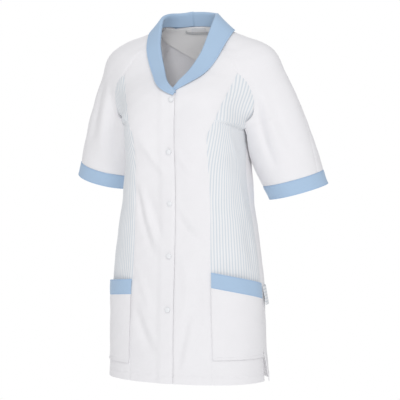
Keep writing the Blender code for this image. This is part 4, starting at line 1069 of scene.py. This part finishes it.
belt_angles = np.linspace(91.5, 268.5, 121)
belt_heights = BELT_TOP - BELT_WIDTH * np.linspace(1, 0, 12)[:, None]
belt_angles, belt_heights = np.broadcast_arrays(belt_angles, belt_heights)
belt = at_angles(belt_heights, belt_angles)
belt_raise = CLOTH + 0.0010 + BELT_STAND_OFF * (BELT_TOP - belt_heights) / BELT_WIDTH
belt_outer = raised(belt, body_field, belt_raise)
BELT_CLOTH = 0.0016
panel("striped_belt", "back_belt", belt_outer, plain_uv(belt), belt_cloth, BELT_CLOTH)

# %% [markdown]
# ## Press studs
#
# The studs' caps are low pearly domes with a thin rim. One cap is modelled from a cylinder: its top
# edge is bevelled into a dome. It is copied for all five.

# %% The stud caps
SNAP_RADIUS, SNAP_RISE = 0.0058, 0.0028
pearl = bpy.data.materials.new("pearl_plastic")
pearl.use_nodes = True
pearl_shader = pearl.node_tree.nodes["Principled BSDF"]
socket(pearl_shader, "Base Color", (0.83, 0.84, 0.86, 1.0))
socket(pearl_shader, "Roughness", 0.28)
socket(pearl_shader, "Coat Weight", 0.3)
cloud = pearl.node_tree.nodes.new("ShaderNodeTexNoise")
socket(cloud, "Scale", 260.0)
cloudy = pearl.node_tree.nodes.new("ShaderNodeBump")
socket(cloudy, "Strength", 0.05)
socket(cloudy, "Distance", 0.0001)
cloud_place = pearl.node_tree.nodes.new("ShaderNodeTexCoord")
pearl.node_tree.links.new(cloud_place.outputs["Object"], cloud.inputs["Vector"])
pearl.node_tree.links.new(cloud.outputs["Fac"], cloudy.inputs["Height"])
pearl.node_tree.links.new(cloudy.outputs["Normal"], pearl_shader.inputs["Normal"])


def stud_cap():
    bpy.ops.object.select_all(action="DESELECT")
    bpy.ops.mesh.primitive_cylinder_add(vertices=48, radius=SNAP_RADIUS, depth=SNAP_RISE)
    cap = bpy.context.object
    bpy.ops.object.mode_set(mode="EDIT")
    form = bmesh.from_edit_mesh(cap.data)
    for face in form.faces:
        face.select_set(face.normal.z > 0.9)
    bmesh.update_edit_mesh(cap.data)
    bpy.ops.mesh.inset(thickness=0.0006)
    bpy.ops.transform.translate(value=(0, 0, -0.0002))
    bpy.ops.mesh.inset(thickness=0.0003)
    bpy.ops.transform.translate(value=(0, 0, 0.0006))
    bpy.ops.mesh.inset(thickness=0.0018)
    bpy.ops.transform.translate(value=(0, 0, 0.0006))
    bpy.ops.mesh.inset(thickness=0.0018)
    bpy.ops.transform.translate(value=(0, 0, 0.0002))
    form = bmesh.from_edit_mesh(cap.data)
    bpy.ops.mesh.select_mode(type="EDGE")
    for edge in form.edges:
        level = all(v.co.z > SNAP_RISE / 2 - 1e-5 for v in edge.verts)
        rim = all(math.hypot(v.co.x, v.co.y) > SNAP_RADIUS - 1e-5 for v in edge.verts)
        edge.select_set(level and rim)
    bmesh.update_edit_mesh(cap.data)
    bpy.ops.mesh.bevel(offset=0.0005, segments=3)
    bpy.ops.object.mode_set(mode="OBJECT")
    bpy.ops.object.shade_smooth_by_angle(angle=math.radians(50))
    cap.data.materials.append(pearl)
    return cap


first_cap = stud_cap()
cap_mesh = first_cap.data
bpy.data.objects.remove(first_cap)
cap_points = np.empty(len(cap_mesh.vertices) * 3)
cap_mesh.vertices.foreach_get("co", cap_points)
cap_points = cap_points.reshape(-1, 3)
for number, (across_front, height) in enumerate(SNAPS, start=1):
    place = laid_on(body_field, np.array([across_front, float(torso_size("front", height)), height]))
    normal = unit(slope(body_field, place))
    upward = unit(np.array([0.0, 0.0, 1.0]) - normal * normal[2])
    turned = np.stack([np.cross(upward, normal), upward, normal], axis=1)
    lift = OVERLAP_LIFT + float(crease_height(place[None])[0]) + 0.0004 + SNAP_RISE / 2
    mesh = cap_mesh.copy()
    mesh.vertices.foreach_set("co", (place + normal * lift + cap_points @ turned.T).ravel())
    mesh.update()
    stud = bpy.data.objects.new(f"stud_cap_{number}", mesh)
    bpy.context.scene.collection.objects.link(stud)
    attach(stud, "root")
    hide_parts(f"snap_{number}")
print("studs", len(SNAPS))

# %% [markdown]
# ## Stitching
#
# Seams on workwear are topstitched: a row of short stitches runs beside the seam and holds its
# turnings flat. The hem is turned up and stitched, and the pockets have two rows along the bottom.
# One stitch is a short thread lying on the cloth, thinner at both ends where it dips in.

# %% Rows of stitches
StitchRow = namedtuple("StitchRow", "node edge inset low high", defaults=(0.0, 1.0))
WHITE_ROWS = (
    StitchRow("front_right", "right", 0.0024), StitchRow("front_right", "left", 0.0018, 0.0, 0.87),
    StitchRow("front_left", "right", 0.0018, 0.0, 0.87), StitchRow("front_right", "bottom", HEM_TURNED),
    StitchRow("front_left", "bottom", HEM_TURNED, 0.22), StitchRow("back_left", "bottom", HEM_TURNED),
    StitchRow("back_right", "bottom", HEM_TURNED), StitchRow("back_left", "right", 0.0016),
    StitchRow("lower_side_left", "bottom", HEM_TURNED),
    StitchRow("lower_side_right", "bottom", HEM_TURNED),
    StitchRow("sleeve_front_left", "left", 0.0018, 0.38),
    StitchRow("sleeve_back_left", "right", 0.0018, 0.38),
    StitchRow("sleeve_front_right", "right", 0.0018, 0.38),
    StitchRow("sleeve_back_right", "left", 0.0018, 0.38),
    StitchRow("sleeve_back_left", "left", 0.0016), StitchRow("sleeve_back_right", "right", 0.0016),
    StitchRow("pocket_left", "bottom", 0.0016), StitchRow("pocket_left", "bottom", 0.0066),
    StitchRow("pocket_right", "bottom", 0.0016), StitchRow("pocket_right", "bottom", 0.0066),
    StitchRow("pocket_left", "left", 0.0016), StitchRow("pocket_right", "right", 0.0016),
    StitchRow("back_belt", "bottom", 0.0016), StitchRow("back_belt", "top", 0.0016),
    StitchRow("back_neck_facing", "bottom", 0.0020), StitchRow("size_label", "top", 0.0010),
)
BLUE_ROWS = tuple(
    StitchRow(node, edge, 0.0018)
    for node in ("cuff_left", "cuff_right", "pocket_band_left", "pocket_band_right")
    for edge in ("bottom", "top")
) + (StitchRow("collar", "bottom", 0.0040),)
STITCH_STEP, STITCH_LENGTH, THREAD_RADIUS, THREAD_SIDES = 0.0030, 0.0025, 0.00026, 5
STITCH_RINGS = ((-1.0, 0.35, -0.6), (-0.6, 1.0, 0.45), (0.6, 1.0, 0.45), (1.0, 0.35, -0.6))


def stitch_line(row):
    """Points and outward directions on a sheet, along a line at a distance from one edge."""
    outer = outer_sides[row.node]
    ways = unit(np.cross(np.gradient(outer, axis=1), np.gradient(outer, axis=0)))
    if row.edge in ("bottom", "top"):
        outer, ways = outer.swapaxes(0, 1), ways.swapaxes(0, 1)
    if row.edge in ("right", "top"):
        outer, ways = outer[:, ::-1], ways[:, ::-1]
    run = arc(outer, 1)
    line = np.arange(len(outer))
    i = np.clip((run < row.inset).sum(axis=1) - 1, 0, outer.shape[1] - 2)
    share = (row.inset - run[line, i]) / np.maximum(run[line, i + 1] - run[line, i], 1e-9)
    share = np.clip(share, 0.0, 1.0)[:, None]
    kept = slice(int(row.low * (len(line) - 1)), int(row.high * (len(line) - 1)) + 1)
    points = outer[line, i] * (1 - share) + outer[line, i + 1] * share
    return points[kept], unit(ways[line, i] * (1 - share) + ways[line, i + 1] * share)[kept]


def stitch_points(row):
    """The corner points of every stitch in a row, as stitch, ring, side and axis."""
    line, ways = stitch_line(row)
    run = np.concatenate([[0.0], np.cumsum(np.linalg.norm(np.diff(line, axis=0), axis=1))])
    count = int(run[-1] / STITCH_STEP)
    middles = (np.arange(count) + 0.5) * run[-1] / count

    def read(values, at):
        return np.stack([np.interp(at, run, values[:, k]) for k in range(3)], axis=1)

    centre = read(line, middles)
    along = unit(read(line, middles + STITCH_LENGTH / 2) - read(line, middles - STITCH_LENGTH / 2))
    out = unit(read(ways, middles))
    side = np.cross(along, out)
    turn = np.linspace(0, 2 * math.pi, THREAD_SIDES, endpoint=False)
    rings = []
    for place, size, rise in STITCH_RINGS:
        middle = centre + along * (place * STITCH_LENGTH / 2) + out * (rise * THREAD_RADIUS)
        circle = side[:, None] * np.cos(turn)[:, None] + out[:, None] * np.sin(turn)[:, None]
        rings.append(middle[:, None] + circle * (size * THREAD_RADIUS))
    return np.stack(rings, axis=1)


def stitch_mesh(name, rows, finish):
    points = np.concatenate([stitch_points(row) for row in rows])
    ring, n = len(STITCH_RINGS), THREAD_SIDES
    unit_faces = [tuple(range(n)), tuple(reversed(range((ring - 1) * n, ring * n)))]
    for r in range(ring - 1):
        low, high = r * n, (r + 1) * n
        unit_faces += [(low + k, high + k, high + (k + 1) % n, low + (k + 1) % n) for k in range(n)]
    starts = [ring * n * number for number in range(len(points))]
    faces = [tuple(start + i for i in face) for start in starts for face in unit_faces]
    mesh = bpy.data.meshes.new(name)
    mesh.from_pydata(points.reshape(-1, 3).tolist(), [], faces)
    mesh.shade_smooth()
    mesh.materials.append(finish)
    piece = bpy.data.objects.new(name, mesh)
    bpy.context.scene.collection.objects.link(piece)
    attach(piece, "root")
    print(name, "stitches", len(points))


white_thread = cloth_finish("white_thread", (0.90, 0.89, 0.91), rib=0.0005)
blue_thread = cloth_finish("blue_thread", (0.36, 0.52, 0.78), rib=0.0005)
stitch_mesh("white_stitching", WHITE_ROWS, white_thread)
stitch_mesh("blue_stitching", BLUE_ROWS, blue_thread)

# %% [markdown]
# ## Floor, lights and camera
#
# The tunic hangs clear, so the pale floor lies far below it. The light is soft and comes mostly from
# the viewer's right, which shades the far side and shows the creases. The camera stands level with
# the chest and to the wearer's left, far enough away for a calm perspective.

# %% Floor, lights and camera
LIGHT_AIM = (0.0, 0.0, -0.35)


def light(name, place, size, power):
    bpy.ops.object.light_add(type="AREA", location=place)
    lamp = bpy.context.object
    lamp.name = name
    lamp.data.size = size
    lamp.data.energy = power
    aim = bpy.data.objects.new(f"{name}_aim", None)
    aim.location = LIGHT_AIM
    bpy.context.scene.collection.objects.link(aim)
    track = lamp.constraints.new("TRACK_TO")
    track.target = aim
    track.track_axis = "TRACK_NEGATIVE_Z"
    track.up_axis = "UP_Y"


bpy.ops.mesh.primitive_plane_add(size=7, location=(0, 0, -2.6))
floor = bpy.context.object
floor.name = "floor"
pale = bpy.data.materials.new("pale_floor")
pale.use_nodes = True
pale_shader = pale.node_tree.nodes["Principled BSDF"]
socket(pale_shader, "Base Color", (0.94, 0.94, 0.94, 1.0))
socket(pale_shader, "Emission Color", (1.0, 1.0, 1.0, 1.0))
socket(pale_shader, "Emission Strength", 0.35)
socket(pale_shader, "Roughness", 0.9)
floor.data.materials.append(pale)

world = bpy.data.worlds.new("studio")
bpy.context.scene.world = world
world.use_nodes = True
nodes, links = world.node_tree.nodes, world.node_tree.links
soft = nodes["Background"]
socket(soft, "Color", (0.985, 0.99, 1.0, 1.0))
socket(soft, "Strength", 0.59)
white = nodes.new("ShaderNodeBackground")
socket(white, "Color", (1.0, 1.0, 1.0, 1.0))
socket(white, "Strength", 1.0)
seen = nodes.new("ShaderNodeLightPath")
choose = nodes.new("ShaderNodeMixShader")
links.new(seen.outputs["Is Camera Ray"], choose.inputs["Fac"])
links.new(soft.outputs["Background"], choose.inputs[1])
links.new(white.outputs["Background"], choose.inputs[2])
links.new(choose.outputs["Shader"], nodes["World Output"].inputs["Surface"])
bpy.context.scene.view_settings.view_transform = "Standard"
light("key", (2.5, -2.9, 1.2), 1.2, 27)
light("beside_camera", (0.8, -3.5, 0.9), 0.6, 24)
light("fill", (-2.6, -1.8, 0.3), 2.4, 3)
light("over_neck", (0.5, -2.4, 2.2), 0.7, 9)
light("back_light", (-1.8, 2.8, 1.4), 1.2, 30)

VIEW_TURN, VIEW_DISTANCE, VIEW_HEIGHT = math.radians(22.5), 3.7, -0.20
TARGET_ACROSS, TARGET_HEIGHT = 0.0176, -0.3828
SENSOR_WIDTH, IMAGE_WIDTH, PIXEL_SIZE = 36.0, 400.0, 0.0022
right_way = np.array([math.cos(VIEW_TURN), math.sin(VIEW_TURN), 0.0])
eye = np.array([math.sin(VIEW_TURN), -math.cos(VIEW_TURN), 0.0]) * VIEW_DISTANCE
eye[2] = VIEW_HEIGHT
target = right_way * TARGET_ACROSS + np.array([0.0, 0.0, TARGET_HEIGHT])
bpy.ops.object.camera_add(location=eye)
camera = bpy.context.object
camera.name = "camera"
camera.rotation_euler = Vector(target - eye).to_track_quat("-Z", "Y").to_euler()
camera.data.sensor_width = SENSOR_WIDTH
camera.data.lens = SENSOR_WIDTH * (VIEW_DISTANCE / PIXEL_SIZE) / IMAGE_WIDTH
bpy.context.scene.camera = camera
print("camera lens", round(camera.data.lens, 1))
